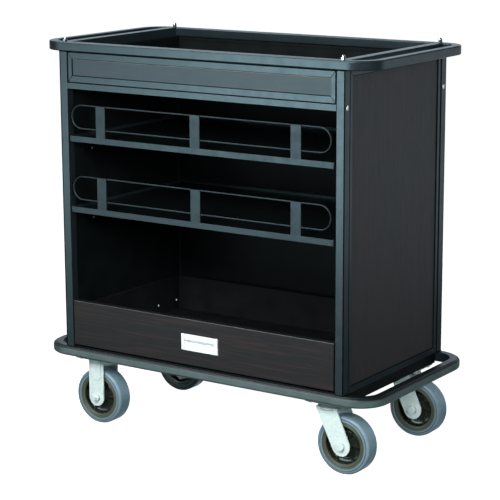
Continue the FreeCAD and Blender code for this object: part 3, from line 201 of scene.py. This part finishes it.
def laminate(name, grain, dark, light, streak, specular, tint=(1, 1, 1)):
    """Printed wood laminate. Its grain runs along the axis that grain names."""
    wood = Finish(name)
    wood.shader.inputs["Specular IOR Level"].default_value = specular
    wood.shader.inputs["Specular Tint"].default_value = (*tint, 1)
    long_axis = "xyz".index(grain)
    fine = [1 / 0.9] * 3
    fine[long_axis] = 1 / 60
    broad = [1 / 5] * 3
    broad[long_axis] = 1 / 160
    fine_grain = wood.noise(MM, 5, 0.65, fine)
    figure = wood.noise(MM, 3, 0.5, broad, 0.6)
    base = wood.ramp(fine_grain, (0.32, dark), (0.5, light), (0.62, dark))
    streaks = wood.spread(figure, 0, 0.75, 0.5, 0.68)
    wood.colour(wood.mix(streaks, base, streak))
    wood.rough(wood.spread(fine_grain, 0.4, 0.56))
    return wood.bump((fine_grain, 0.00005))


def plain_board(name, dark, light, specular, rough):
    """Matt black board or sheet with a faint leathery texture."""
    board = Finish(name)
    board.shader.inputs["Specular IOR Level"].default_value = specular
    board.colour(board.ramp(board.noise(0.05, 5), (0.3, dark), (0.7, light)))
    board.rough(board.spread(board.noise(0.004, 3), rough - 0.07, rough + 0.07))
    return board.bump((board.noise(0.0012, 2), 0.00004))


def plated_steel(name, dark, light, rough_low, rough_high, spangle, metallic):
    """Zinc or chrome plate, with cells of slightly different grey."""
    metal = Finish(name, Metallic=metallic)
    mottle = metal.mix(0.5, metal.cells(spangle), metal.noise(0.012, 4))
    metal.colour(metal.ramp(mottle, (0.25, dark), (0.75, light)))
    metal.rough(metal.spread(metal.noise(0.006, 4), rough_low, rough_high))
    return metal.bump((metal.noise(0.003, 3), 0.00004))


def brushed_metal(name, dark, light, rough_low, rough_high):
    """Satin cast metal with fine lines along X."""
    metal = Finish(name, Metallic=0.35)
    lines = metal.noise(MM, 3, 0.6, (1 / 20, 1 / 0.5, 1 / 0.5))
    metal.colour(metal.ramp(lines, (0.3, dark), (0.7, light)))
    metal.rough(metal.spread(metal.noise(0.008, 3), rough_low, rough_high))
    return metal.bump((lines, 0.00002))


def rubber(name, dark, light, rough_low, rough_high, grain, level=None):
    """Moulded rubber, a little dusty, with a fine matt grain. Upward faces may be darker, which is painted
    shade on top faces.
    """
    body = Finish(name)
    dust = body.noise(0.03, 6, 0.6)
    rubber_and_top_shade = body.ramp(dust, (0.3, dark), (0.72, light))
    # painted shade: with a level colour given, faces that look up take it
    if level is not None:
        rubber_and_top_shade = body.mix(body.top_shade_mask(0, 0.6), rubber_and_top_shade, level)
    body.colour(rubber_and_top_shade)
    body.rough(body.spread(body.noise(0.01, 4), rough_low, rough_high))
    return body.bump((body.noise(grain, 2), 0.00004))


FRAME_PAINT = powder_coat("frame_paint", (0.008, 0.012, 0.0142), (0.0125, 0.018, 0.021), 0.29, 0.36)
STEEL_PAINT = powder_coat("steel_paint", (0.007, 0.0105, 0.0125), (0.012, 0.0175, 0.0205), 0.28, 0.43, 0.26)
# the frame's paint with its top faces darkened to near black: painted shade on the shelf floors and the
# base ring's top
SHELF_PAINT_SHADED_TOPS = powder_coat("shelf_paint_shaded_tops", (0.008, 0.012, 0.0142), (0.0125, 0.018, 0.021), 0.3, 0.4, 0.32,
                          (0.003, 0.004, 0.0045))
BLACK_STEEL = plain_board("black_steel", (0.003, 0.0042, 0.0046), (0.006, 0.008, 0.0085), 0.12, 0.5)
BLACK_LAMINATE = plain_board("black_laminate", (0.0025, 0.0035, 0.004), (0.005, 0.0065, 0.007), 0.08, 0.55)
BLACK_BOARD = plain_board("black_board", (0.004, 0.0045, 0.005), (0.008, 0.009, 0.0095), 0.1, 0.6)
WALNUT_UPRIGHT = laminate("walnut_upright", "z", (0.009, 0.009, 0.0105), (0.02, 0.02, 0.022),
                          (0.036, 0.021, 0.018), 0.42)
# a darker copy of the same walnut laminate for the walnut slot, the drawer front low on the trolley:
# painted shade
WALNUT_LEVEL_SHADED = laminate("walnut_level_shaded", "x", (0.0045, 0.0042, 0.0046), (0.0105, 0.0092, 0.0096),
                        (0.03, 0.0145, 0.0118), 0.22)
# the same walnut with a bluish grey base: a painted reflection of the front lights on the apron's board,
# over the real grain
WALNUT_PAINTED_SHEEN = laminate("walnut_painted_sheen", "x", (0.007, 0.0122, 0.0148), (0.014, 0.0215, 0.025),
                        (0.021, 0.0225, 0.026), 0.5, (0.82, 0.94, 1))
CHROME = plated_steel("chrome", (0.75, 0.78, 0.78), (0.9, 0.92, 0.92), 0.2, 0.3, 0.02, 0.3)
BRIGHT_CHROME = plated_steel("bright_chrome", (0.42, 0.45, 0.44), (0.7, 0.73, 0.71), 0.1, 0.18, 0.02, 0.95)
SATIN = brushed_metal("satin_metal", (0.86, 0.9, 0.87), (0.95, 0.97, 0.95), 0.34, 0.46)
ZINC = plated_steel("zinc_steel", (0.67, 0.77, 0.735), (0.79, 0.89, 0.85), 0.34, 0.44, 0.005, 0.2)
# the last colour darkens faces that look up: painted shade on the bumper's top
BUMPER_SHADED_TOP = rubber("bumper_rubber", (0.052, 0.078, 0.077), (0.08, 0.114, 0.111), 0.42, 0.56, 0.0012,
                (0.004, 0.005, 0.0055))
TYRE = rubber("tyre_rubber", (0.142, 0.212, 0.255), (0.184, 0.268, 0.312), 0.36, 0.5, 0.0009)
# a dark rubber for the rings in the tyres' side grooves: painted shade of the grooves
TYRE_GROOVE_SHADE = rubber("tyre_groove_shade", (0.03, 0.042, 0.048), (0.05, 0.068, 0.078), 0.5, 0.65, 0.0009)
RIM = rubber("rim_plastic", (0.05, 0.056, 0.036), (0.074, 0.082, 0.054), 0.34, 0.5, 0.0008)
WASHER = plated_steel("washer_steel", (0.3, 0.33, 0.32), (0.42, 0.46, 0.44), 0.34, 0.46, 0.005, 0.3)
# a darker zinc for the raised lines round the forks' pressed tongues: painted shade of the pressed edges
PRESSED_LINE_SHADE = plated_steel("pressed_line_shade", (0.4, 0.46, 0.45), (0.52, 0.6, 0.58), 0.36, 0.46, 0.005, 0.2)
# near black: the colour of the black gaskets, and painted shade for the dark lines on the posts and in the
# screw recesses
JOINT_BLACK_AND_SHADE = plain_board("joint_black_and_shade", (0.0012, 0.0015, 0.0018), (0.0025, 0.003, 0.0034), 0.05, 0.6)
# painted highlights: a pale strip on the apron board's top edge and a lighter strip on the drawer front's
# top edge
PALE_EDGE_HIGHLIGHT = plain_board("pale_edge_highlight", (0.12, 0.125, 0.105), (0.2, 0.205, 0.175), 0.4, 0.45)
EDGE_HIGHLIGHT = plain_board("edge_highlight", (0.045, 0.05, 0.05), (0.085, 0.092, 0.09), 0.4, 0.4)
HUB = rubber("hub_plastic", (0.013, 0.0165, 0.012), (0.022, 0.027, 0.02), 0.2, 0.32, 0.0008)

BY_SLOT = {
    "frame_paint": FRAME_PAINT,
    "steel_paint": STEEL_PAINT,
    "black_steel": BLACK_STEEL,
    "black_laminate": BLACK_LAMINATE,
    "black_board": BLACK_BOARD,
    "walnut": WALNUT_LEVEL_SHADED,
    "chrome": CHROME,
    "satin_metal": SATIN,
    "zinc_steel": ZINC,
    "bumper_rubber": BUMPER_SHADED_TOP,
    "tyre_rubber": TYRE,
    "hub_plastic": HUB,
}


def dress_nodes():
    """Give every CAD node the finish of its material slot."""
    slot_of = {part["node"]: part["material_slot"] for part in frame["record"]["subparts"]}
    for name, obj in nodes.items():
        finish = BY_SLOT[slot_of[name]]
        if name.startswith(("end_panel", "back_panel")):
            finish = WALNUT_UPRIGHT
        # painted reflection on the apron's board
        if name == "apron_panel":
            finish = WALNUT_PAINTED_SHEEN
        # painted shade on the top faces of the shelves and the base ring
        if name in ("upper_shelf", "lower_shelf", "base_ring"):
            finish = SHELF_PAINT_SHADED_TOPS
        if name == "cap_nuts":
            finish = BRIGHT_CHROME
        obj.data.materials.clear()
        obj.data.materials.append(finish)


# ---------------------------------------------------------------- detail pieces

def add_piece(name, mesh, body, finish, crisp=35):
    """Put a mesh in the scene as a piece of the trolley, in millimetres, riding on a body."""
    mesh.transform(Matrix.Scale(MM, 4))
    mesh.shade_smooth()
    mesh.set_sharp_from_angle(angle=math.radians(crisp))
    mesh.materials.append(finish)
    piece = bpy.data.objects.new(name, mesh)
    bpy.context.scene.collection.objects.link(piece)
    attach(piece, body)
    return piece


def mesh_of(name, shape):
    mesh = bpy.data.meshes.new(name)
    bmesh.ops.recalc_face_normals(shape, faces=shape.faces)
    shape.to_mesh(mesh)
    shape.free()
    return mesh


def box_mm(node):
    low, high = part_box(node)
    return Vector(low) / MM, Vector(high) / MM


def middle_mm(node):
    low, high = box_mm(node)
    return (low + high) / 2


def add_bar(shape, low, high, edge):
    """A bar between two corners, with its edges rounded."""
    size = Vector(high) - Vector(low)
    centre = (Vector(high) + Vector(low)) / 2
    stretch = Matrix.Translation(centre) @ Matrix.Diagonal((*size, 1))
    made = bmesh.ops.create_cube(shape, size=1, matrix=stretch)
    edges = {side for corner in made["verts"] for side in corner.link_edges}
    bmesh.ops.bevel(shape, geom=list(edges), offset=edge, segments=2, profile=0.5, affect="EDGES")


def add_turned(shape, centre, profile, side, steps=96):
    """A closed profile of (radius, distance out from the centre plane), turned about an axle along Y."""
    rings = []
    for step in range(steps):
        angle = 2 * math.pi * step / steps
        rings.append([shape.verts.new((centre.x + radius * math.cos(angle), centre.y + side * out,
                                       centre.z + radius * math.sin(angle)))
                      for radius, out in profile])
    for step in range(steps):
        here, there = rings[step], rings[(step + 1) % steps]
        for index in range(len(profile)):
            after = (index + 1) % len(profile)
            shape.faces.new((here[index], here[after], there[after], there[index]))


def add_tube(shape, path, radius, closed=False, ripple=0, pitch=3, sides=8):
    """A tube along a path of points. A ripple makes it a weld bead."""
    rings = []
    count = len(path)
    run = 0
    for index, point in enumerate(path):
        before = path[index - 1] if index or closed else point
        after = path[(index + 1) % count] if index + 1 < count or closed else point
        along = (after - before).normalized()
        across = along.cross(Vector((0, 0, 1)) if abs(along.z) < 0.9 else Vector((1, 0, 0))).normalized()
        up = across.cross(along)
        if index:
            run += (point - path[index - 1]).length
        swell = radius * (1 + ripple * math.sin(2 * math.pi * run / pitch))
        rings.append([shape.verts.new(point + swell * (math.cos(turn) * across + math.sin(turn) * up))
                      for turn in (2 * math.pi * side / sides for side in range(sides))])
    pairs = count if closed else count - 1
    for index in range(pairs):
        here, there = rings[index], rings[(index + 1) % count]
        for side in range(sides):
            after = (side + 1) % sides
            shape.faces.new((here[side], here[after], there[after], there[side]))
    if not closed:
        shape.faces.new(rings[0])
        shape.faces.new(reversed(rings[-1]))


def line(start, end, step=0.8):
    start, end = Vector(start), Vector(end)
    count = max(2, int((end - start).length / step))
    return [start.lerp(end, index / count) for index in range(count + 1)]


def make_wheel_details():
    """On each wheel: moulded rims, a ridged dish in the hub, and a dark ring in each side groove, which is
    painted shade of the groove.
    """
    rim = ((60.9, 21.2), (60.9, 22.2), (60.3, 22.6), (59.6, 22.6), (59, 22.1), (57.6, 21.9), (56.9, 22.3),
           (54.2, 22.3), (53.6, 21.7), (52.6, 21.5), (51.9, 21.9), (50.6, 21.7), (49.9, 20.9), (49.4, 19.6),
           (48.6, 17.5), (49.4, 17.2), (55, 20))
    dish = ((46.6, 5.2), (46.4, 9.4), (45.2, 7.6), (43, 6.6), (37.6, 6.2), (36.8, 7.4), (35.6, 8.2),
            (34.4, 8.2), (33.2, 7.4), (32.6, 6.2), (25, 6), (21.6, 7), (19.4, 10), (18.6, 12.4), (17.6, 12),
            (18, 5.2))
    # the dark ring in the side groove: painted shade of the groove
    groove_shade = ((65.55, 21.1), (65.7, 22.2), (66.1, 22.5), (66.9, 22.5), (67.3, 22.2), (67.45, 21.1))
    turned = (
        ("rims", rim, "hub_plastic", RIM),
        ("dishes", dish, "hub_plastic", HUB),
        ("groove_shades", groove_shade, "tyre_rubber", TYRE_GROOVE_SHADE),
    )
    for corner in ("front_left", "rear_left", "front_right", "rear_right"):
        centre = middle_mm(f"tyre_{corner}")
        for name, profile, slot, finish in turned:
            shape = bmesh.new()
            for side in (-1, 1):
                add_turned(shape, centre, profile, side)
            add_piece(f"wheel_{name}_{corner}", mesh_of(name, shape), f"wheel_{corner}", finish)


def add_pressed_outline(shape, centre, y):
    """A raised line round the pressed tongue of a rigid fork's leg, in darker zinc: painted shade of the
    pressed edge.
    """
    left, right = centre.x - TONGUE_HALF, centre.x + TONGUE_HALF
    path = line((left, y, TONGUE_TOP), (left, y, TONGUE_ROUND_Z), 4)
    path += [Vector((centre.x - TONGUE_HALF * math.cos(turn), y,
                     TONGUE_ROUND_Z - TONGUE_HALF * math.sin(turn)))
             for turn in (math.pi * step / 16 for step in range(1, 16))]
    path += line((right, y, TONGUE_ROUND_Z), (right, y, TONGUE_TOP), 4)
    add_tube(shape, path, 0.75)


def add_race_seal(shape, centre):
    """Two rings round the ball race of a swivel caster."""
    pivot = Vector((SWIVEL_AXIS_X, centre.y, 0))
    for radius, height in RACE_GROOVES:
        ring = [pivot + Vector((radius * math.cos(turn), radius * math.sin(turn), height))
                for turn in (2 * math.pi * step / 72 for step in range(72))]
        add_tube(shape, ring, 1.1, closed=True)


def make_caster_details():
    """Washers under the axle bolts, darker pressed outlines on the rigid forks (painted shade), and a seal
    on each ball race.
    """
    washer = ((6.3, 0), (6.3, 1.1), (6.8, 1.3), (11.3, 1.3), (11.9, 1), (11.9, 0))
    on_leg = [(radius, FORK_HALF + out) for radius, out in washer]
    bodies = {"front_left": "cabinet", "rear_left": "cabinet", "front_right": "swivel_front_right",
              "rear_right": "swivel_rear_right"}
    for corner, body in bodies.items():
        centre = middle_mm(f"tyre_{corner}")
        shape = bmesh.new()
        for side in (-1, 1):
            add_turned(shape, centre, on_leg, side, 40)
        add_piece(f"axle_washers_{corner}", mesh_of("washers", shape), body, WASHER)
        shape = bmesh.new()
        if body == "cabinet":
            for side in (-1, 1):
                add_pressed_outline(shape, centre, centre.y + side * (FORK_HALF + 0.25))
            add_piece(f"pressed_outlines_{corner}", mesh_of("outlines", shape), body, PRESSED_LINE_SHADE)
        else:
            add_race_seal(shape, centre)
            add_piece(f"race_seal_{corner}", mesh_of("seal", shape), body, WASHER)


def add_wire_weld(shape, x, outward, y, z, side):
    """A bead along the upper or lower side of a wire, where it leaves a strap's edge."""
    start = (x, y - 1.3, z + side * WIRE_RADIUS * 0.6)
    end = (x + outward * 3, y - 0.9, z + side * 0.4)
    add_tube(shape, line(start, end), 1.3, False, 0.3, 2)


def make_guard_details():
    """Welds between the wires and the straps, the sleeve that joins each wire, and the lips' end tabs."""
    welds = bmesh.new()
    sleeves = bmesh.new()
    tabs = bmesh.new()
    straps_low, straps_high = box_mm("guard_straps")
    strap_middle = (straps_low.x + straps_high.x) / 2
    strap_pitch = straps_high.x - strap_middle - STRAP_HALF
    for name in ("upper", "lower"):
        low, high = box_mm(f"{name}_guard_wire")
        shelf_low, shelf_high = box_mm(f"{name}_shelf")
        bend = (high.z - low.z) / 2 - WIRE_RADIUS
        middle = (low.z + high.z) / 2
        y = (low.y + high.y) / 2
        for strap in (-1, 0, 1):
            for edge in (-1, 1):
                x = strap_middle + strap * strap_pitch + edge * (STRAP_HALF - 0.3)
                for level in (-1, 1):
                    for side in (1, -1):
                        add_wire_weld(welds, x, edge, y, middle + level * bend, side)
        pivot = Vector((high.x - WIRE_RADIUS - bend, y, middle))
        arc = [pivot + Vector((bend * math.cos(turn), 0, bend * math.sin(turn)))
               for turn in (math.radians(10 + step) for step in range(25))]
        add_tube(sleeves, arc, 2.7, False, 0.22, 4.2, 12)
        for side in (-1, 1):
            x = side * (shelf_high.x - 1.2)
            fold = x - side * 4.2
            add_bar(tabs, (x - 1.1, shelf_low.y - 0.25, shelf_high.z - 16.2),
                    (x + 1.1, shelf_low.y + 5, shelf_high.z + 1.2), 0.5)
            add_bar(tabs, (fold - 0.5, shelf_low.y - 0.2, shelf_high.z - 15.4),
                    (fold + 0.5, shelf_low.y + 2, shelf_high.z - 0.4), 0.3)
    add_piece("guard_welds", mesh_of("guard_welds", welds), "cabinet", STEEL_PAINT)
    add_piece("wire_sleeves", mesh_of("wire_sleeves", sleeves), "cabinet", STEEL_PAINT)
    add_piece("lip_tabs", mesh_of("lip_tabs", tabs), "cabinet", STEEL_PAINT)


def add_post_shade_lines(shape, low, high, sign_x, sign_y):
    """Dark lines on a corner post, all painted: a dark reflection on its corner, and shade in the gap
    beside the end frame and round both ends.

    low and high are the box of the front right post, and the signs mirror it to the other corners.
    """
    outer_x, inner_x = high.x, low.x
    outer_y, inner_y = -low.y, -high.y
    bottom, top = low.z + 1, high.z - 0.4
    x, y = sign_x * outer_x, sign_y * outer_y
    reach = sorted((x - sign_x * 3, x + sign_x * 0.2))
    depth = sorted((y - sign_y, y + sign_y * 0.2))
    add_bar(shape, (reach[0], depth[0], bottom), (reach[1], depth[1], top), 0.15)
    joint = sign_y * inner_y
    skin = sorted((x - sign_x * 0.6, x + sign_x * 0.2))
    add_bar(shape, (skin[0], joint - 1.2, bottom), (skin[1], joint + 1.2, top), 0.1)
    gap = 0.1
    corners = (
        (outer_x + gap, outer_y + gap),
        (inner_x - gap, outer_y + gap),
        (inner_x - gap, inner_y - gap),
        (outer_x + gap, inner_y - gap),
    )
    for level in (low.z + 0.8, high.z - 0.6):
        loop = [Vector((sign_x * across, sign_y * back, level)) for across, back in corners]
        path = []
        for index, corner in enumerate(loop):
            path += line(corner, loop[(index + 1) % 4], 0.7)[:-1]
        add_tube(shape, path, 1, True, 0.25, 2.4)


def make_shade_lines():
    """Dark lines on the corner posts and beside the end frames: painted shade in the joints and gaps, and a
    painted dark reflection on each post's corner.
    """
    low, high = box_mm("post_front_right")
    shape = bmesh.new()
    for sign_x in (-1, 1):
        for sign_y in (-1, 1):
            add_post_shade_lines(shape, low, high, sign_x, sign_y)
    add_piece("post_shade_lines", mesh_of("post_shade_lines", shape), "cabinet", JOINT_BLACK_AND_SHADE)


def add_gasket(frame_name, corners, across, out):
    """Four black strips from corner to corner of a frame's window, standing out of its board."""
    shape = bmesh.new()
    flat = Vector((0, 0, 0))
    for index, start in enumerate(corners):
        end = corners[(index + 1) % len(corners)]
        low = Vector(map(min, start, end)) - across * GASKET_HALF + Vector(map(min, out, flat))
        high = Vector(map(max, start, end)) + across * GASKET_HALF + Vector(map(max, out, flat))
        add_bar(shape, low, high, 0.3)
    piece_name = frame_name.replace("frame", "gasket")
    add_piece(piece_name, mesh_of("gasket", shape), "cabinet", JOINT_BLACK_AND_SHADE)


def make_gaskets():
    """The black gasket between each framed board and its frame."""
    for name, side, stile in (("apron_frame", -1, 11), ("back_frame", 1, 14)):
        low, high = box_mm(name)
        face = (low.y if side < 0 else high.y) - side * FRAME_STEP
        x = high.x - stile - GASKET_HALF
        bottom, top = low.z + FRAME_RAIL, high.z - FRAME_RAIL
        corners = [Vector((across, face, z))
                   for across, z in ((-x, bottom), (x, bottom), (x, top), (-x, top))]
        add_gasket(name, corners, Vector((1, 0, 1)), Vector((0, side * GASKET_RISE, 0)))
    for name, side in (("end_frame_left", -1), ("end_frame_right", 1)):
        low, high = box_mm(name)
        face = (low.x if side < 0 else high.x) - side * FRAME_STEP
        y = high.y - 14 - GASKET_HALF
        bottom, top = low.z + FRAME_RAIL, high.z - FRAME_RAIL
        corners = [Vector((face, across, z))
                   for across, z in ((-y, bottom), (y, bottom), (y, top), (-y, top))]
        add_gasket(name, corners, Vector((0, 1, 1)), Vector((side * GASKET_RISE, 0, 0)))


def make_edge_highlights():
    """A pale strip over the apron's board and a lighter strip along the top of the drawer front: painted
    highlights on those edges.
    """
    low, high = box_mm("apron_frame")
    inset = 13
    board_top = high.z - 16.2
    start = (low.x + inset, low.y + 2.4, board_top - 1.6)
    end = (high.x - inset, low.y + 5, board_top)
    shape = bmesh.new()
    add_bar(shape, start, end, 0.5)
    add_piece("apron_edge_highlight", mesh_of("apron_edge_highlight", shape), "cabinet", PALE_EDGE_HIGHLIGHT)
    # painted highlight along the drawer front's top edge
    low, high = box_mm("drawer_front")
    inset = 0.3
    highlight_top = high.z + 0.1
    start = (low.x + inset, low.y - 0.15, highlight_top - 1.8)
    end = (high.x - inset, low.y + 2.5, highlight_top)
    shape = bmesh.new()
    add_bar(shape, start, end, 0.5)
    add_piece("drawer_edge", mesh_of("drawer_edge", shape), "drawer", EDGE_HIGHLIGHT)


def make_screw_crosses():
    """Dark crosses on the heads of the post screws: painted shade of their cross recesses."""
    long, short = 2.4, 0.5
    shape = bmesh.new()
    low, high = box_mm("cabinet_screws")
    z = POST_SCREW_Z
    for sign_x in (-1, 1):
        outer = low.x if sign_x < 0 else high.x
        skin = sorted((outer - sign_x * 0.5, outer + sign_x * 0.05))
        for sign_y in (-1, 1):
            y = sign_y * POST_SCREW_Y
            add_bar(shape, (skin[0], y - long, z - short), (skin[1], y + long, z + short), 0.15)
            add_bar(shape, (skin[0], y - short, z - long), (skin[1], y + short, z + long), 0.15)
    add_piece("screw_crosses", mesh_of("screw_crosses", shape), "cabinet", JOINT_BLACK_AND_SHADE)


# ---------------------------------------------------------------- stage, light and camera

def seen_by_camera_only(obj):
    obj.visible_diffuse = False
    obj.visible_glossy = False
    obj.visible_transmission = False
    obj.visible_shadow = False


def make_floor():
    """A pale floor that does not light the trolley from below."""
    size = 60
    corners = [(x * size, y * size, cad_low.z) for x, y in ((-1, -1), (1, -1), (1, 1), (-1, 1))]
    mesh = bpy.data.meshes.new("floor")
    mesh.from_pydata(corners, [], [(0, 1, 2, 3)])
    floor = bpy.data.objects.new("floor", mesh)
    bpy.context.scene.collection.objects.link(floor)
    pale = Finish("floor", Roughness=0.9)
    pale.shader.inputs["Specular IOR Level"].default_value = 0
    pale.shader.inputs["Emission Color"].default_value = (1, 1, 1, 1)
    pale.shader.inputs["Emission Strength"].default_value = 0.98
    pale.colour(pale.ramp(pale.noise(0.4, 3), (0.3, (0.58, 0.58, 0.58)), (0.7, (0.62, 0.62, 0.62))))
    mesh.materials.append(pale.material)
    seen_by_camera_only(floor)


def make_backdrop():
    """A white dome far behind the floor."""
    shell = bmesh.new()
    bmesh.ops.create_uvsphere(shell, u_segments=48, v_segments=24, radius=50)
    mesh = bpy.data.meshes.new("backdrop")
    shell.to_mesh(mesh)
    shell.free()
    dome = bpy.data.objects.new("backdrop", mesh)
    bpy.context.scene.collection.objects.link(dome)
    white = Finish("backdrop", Roughness=1)
    white.shader.inputs["Base Color"].default_value = (0, 0, 0, 1)
    white.shader.inputs["Emission Color"].default_value = (1, 1, 1, 1)
    white.shader.inputs["Emission Strength"].default_value = 1
    mesh.materials.append(white.material)
    seen_by_camera_only(dome)


def aim(obj, location, target):
    """Put an object at a location, facing a target."""
    direction = Vector(target) - Vector(location)
    turn = direction.to_track_quat("-Z", "Y").to_matrix().to_4x4()
    obj.matrix_world = Matrix.Translation(location) @ turn


def softbox(name, location, target, width, height, radiance, colour):
    """A rectangular area light that the camera doesn't see."""
    data = bpy.data.lights.new(name, "AREA")
    data.shape = "RECTANGLE"
    data.size = width
    data.size_y = height
    data.energy = radiance * math.pi * width * height
    data.color = colour
    lamp = bpy.data.objects.new(name, data)
    bpy.context.scene.collection.objects.link(lamp)
    aim(lamp, location, target)
    lamp.visible_camera = False
    return lamp


def make_lights():
    """Boxes at the front left and above that only reflect, and fill boxes in front, beside and behind."""
    key_box = softbox("key_box", (-1.0, -2.7, 0.62), (-0.1, -0.25, 0.6), 1.4, 1.1, 9, (0.76, 0.94, 1))
    left_box = softbox("left_box", (-2.45, -2.55, 0.3), (-0.4, -0.25, 0.6), 1.3, 0.75, 3.7, (0.76, 0.94, 1))
    key_box.visible_diffuse = False
    left_box.visible_diffuse = False
    softbox("fill_box", (0.2, -2.9, 2.3), (0, 0, 0.4), 1.6, 1.1, 24, (0.93, 0.99, 1))
    top_box = softbox("top_box", (-1.4, -0.65, 3), (0, -0.25, 0.8), 1.4, 1.2, 11, (0.95, 0.99, 1))
    top_box.visible_diffuse = False
    side_box = softbox("side_box", (3, -2.2, 1.6), (0.3, 0, 0.4), 1.3, 1.1, 22, (0.93, 0.99, 1))
    side_box.visible_glossy = False
    softbox("end_box", (1.9, 2.1, 0.5), (0.43, 0, 0.6), 1.8, 1.2, 0.78, (0.82, 0.92, 1))


def make_world():
    """Dim light all round, and a bright screen low behind the trolley."""
    world = bpy.data.worlds.new("studio")
    world.use_nodes = True
    tree = world.node_tree
    place = tree.nodes.new("ShaderNodeTexCoord").outputs["Generated"]
    split = tree.nodes.new("ShaderNodeSeparateXYZ")
    tree.links.new(place, split.inputs[0])

    def step(source, start, end):
        node = tree.nodes.new("ShaderNodeMapRange")
        node.interpolation_type = "SMOOTHSTEP"
        node.inputs["From Min"].default_value = start
        node.inputs["From Max"].default_value = end
        tree.links.new(source, node.inputs[0])
        return node.outputs[0]

    def times(first, second):
        node = tree.nodes.new("ShaderNodeMath")
        node.operation = "MULTIPLY_ADD"
        tree.links.new(first, node.inputs[0])
        tree.links.new(second, node.inputs[1])
        node.inputs[2].default_value = 0
        return node

    behind = step(split.outputs["Y"], 0.2, 0.8)
    low = step(split.outputs["Z"], 0.6, 0.3)
    left = step(split.outputs["X"], 0.3, -0.2)
    screen = times(times(behind, low).outputs[0], left)
    screen.inputs[2].default_value = 0.05
    background = tree.nodes["Background"]
    background.inputs[0].default_value = (0.72, 0.89, 1, 1)
    tree.links.new(screen.outputs[0], background.inputs[1])
    bpy.context.scene.world = world


def make_camera():
    """The photograph's camera, solved from the long edges of the trolley."""
    data = bpy.data.cameras.new("camera")
    data.sensor_width = 36
    data.lens = 129.36
    data.clip_end = 200
    camera = bpy.data.objects.new("camera", data)
    bpy.context.scene.collection.objects.link(camera)
    yaw, pitch, roll = (math.radians(angle) for angle in (33.996, 12.251, -0.255))
    camera.matrix_world = (
        Matrix.Translation((2.5899, -3.8513, 1.4937))
        @ Matrix.Rotation(yaw, 4, "Z")
        @ Matrix.Rotation(math.pi / 2 - pitch, 4, "X")
        @ Matrix.Rotation(roll, 4, "Z")
    )
    bpy.context.scene.camera = camera


dress_nodes()
make_wheel_details()
make_caster_details()
make_guard_details()
make_shade_lines()
make_gaskets()
make_edge_highlights()
make_screw_crosses()
make_floor()
make_backdrop()
make_lights()
make_world()
make_camera()
bpy.context.scene.view_settings.view_transform = "Standard"
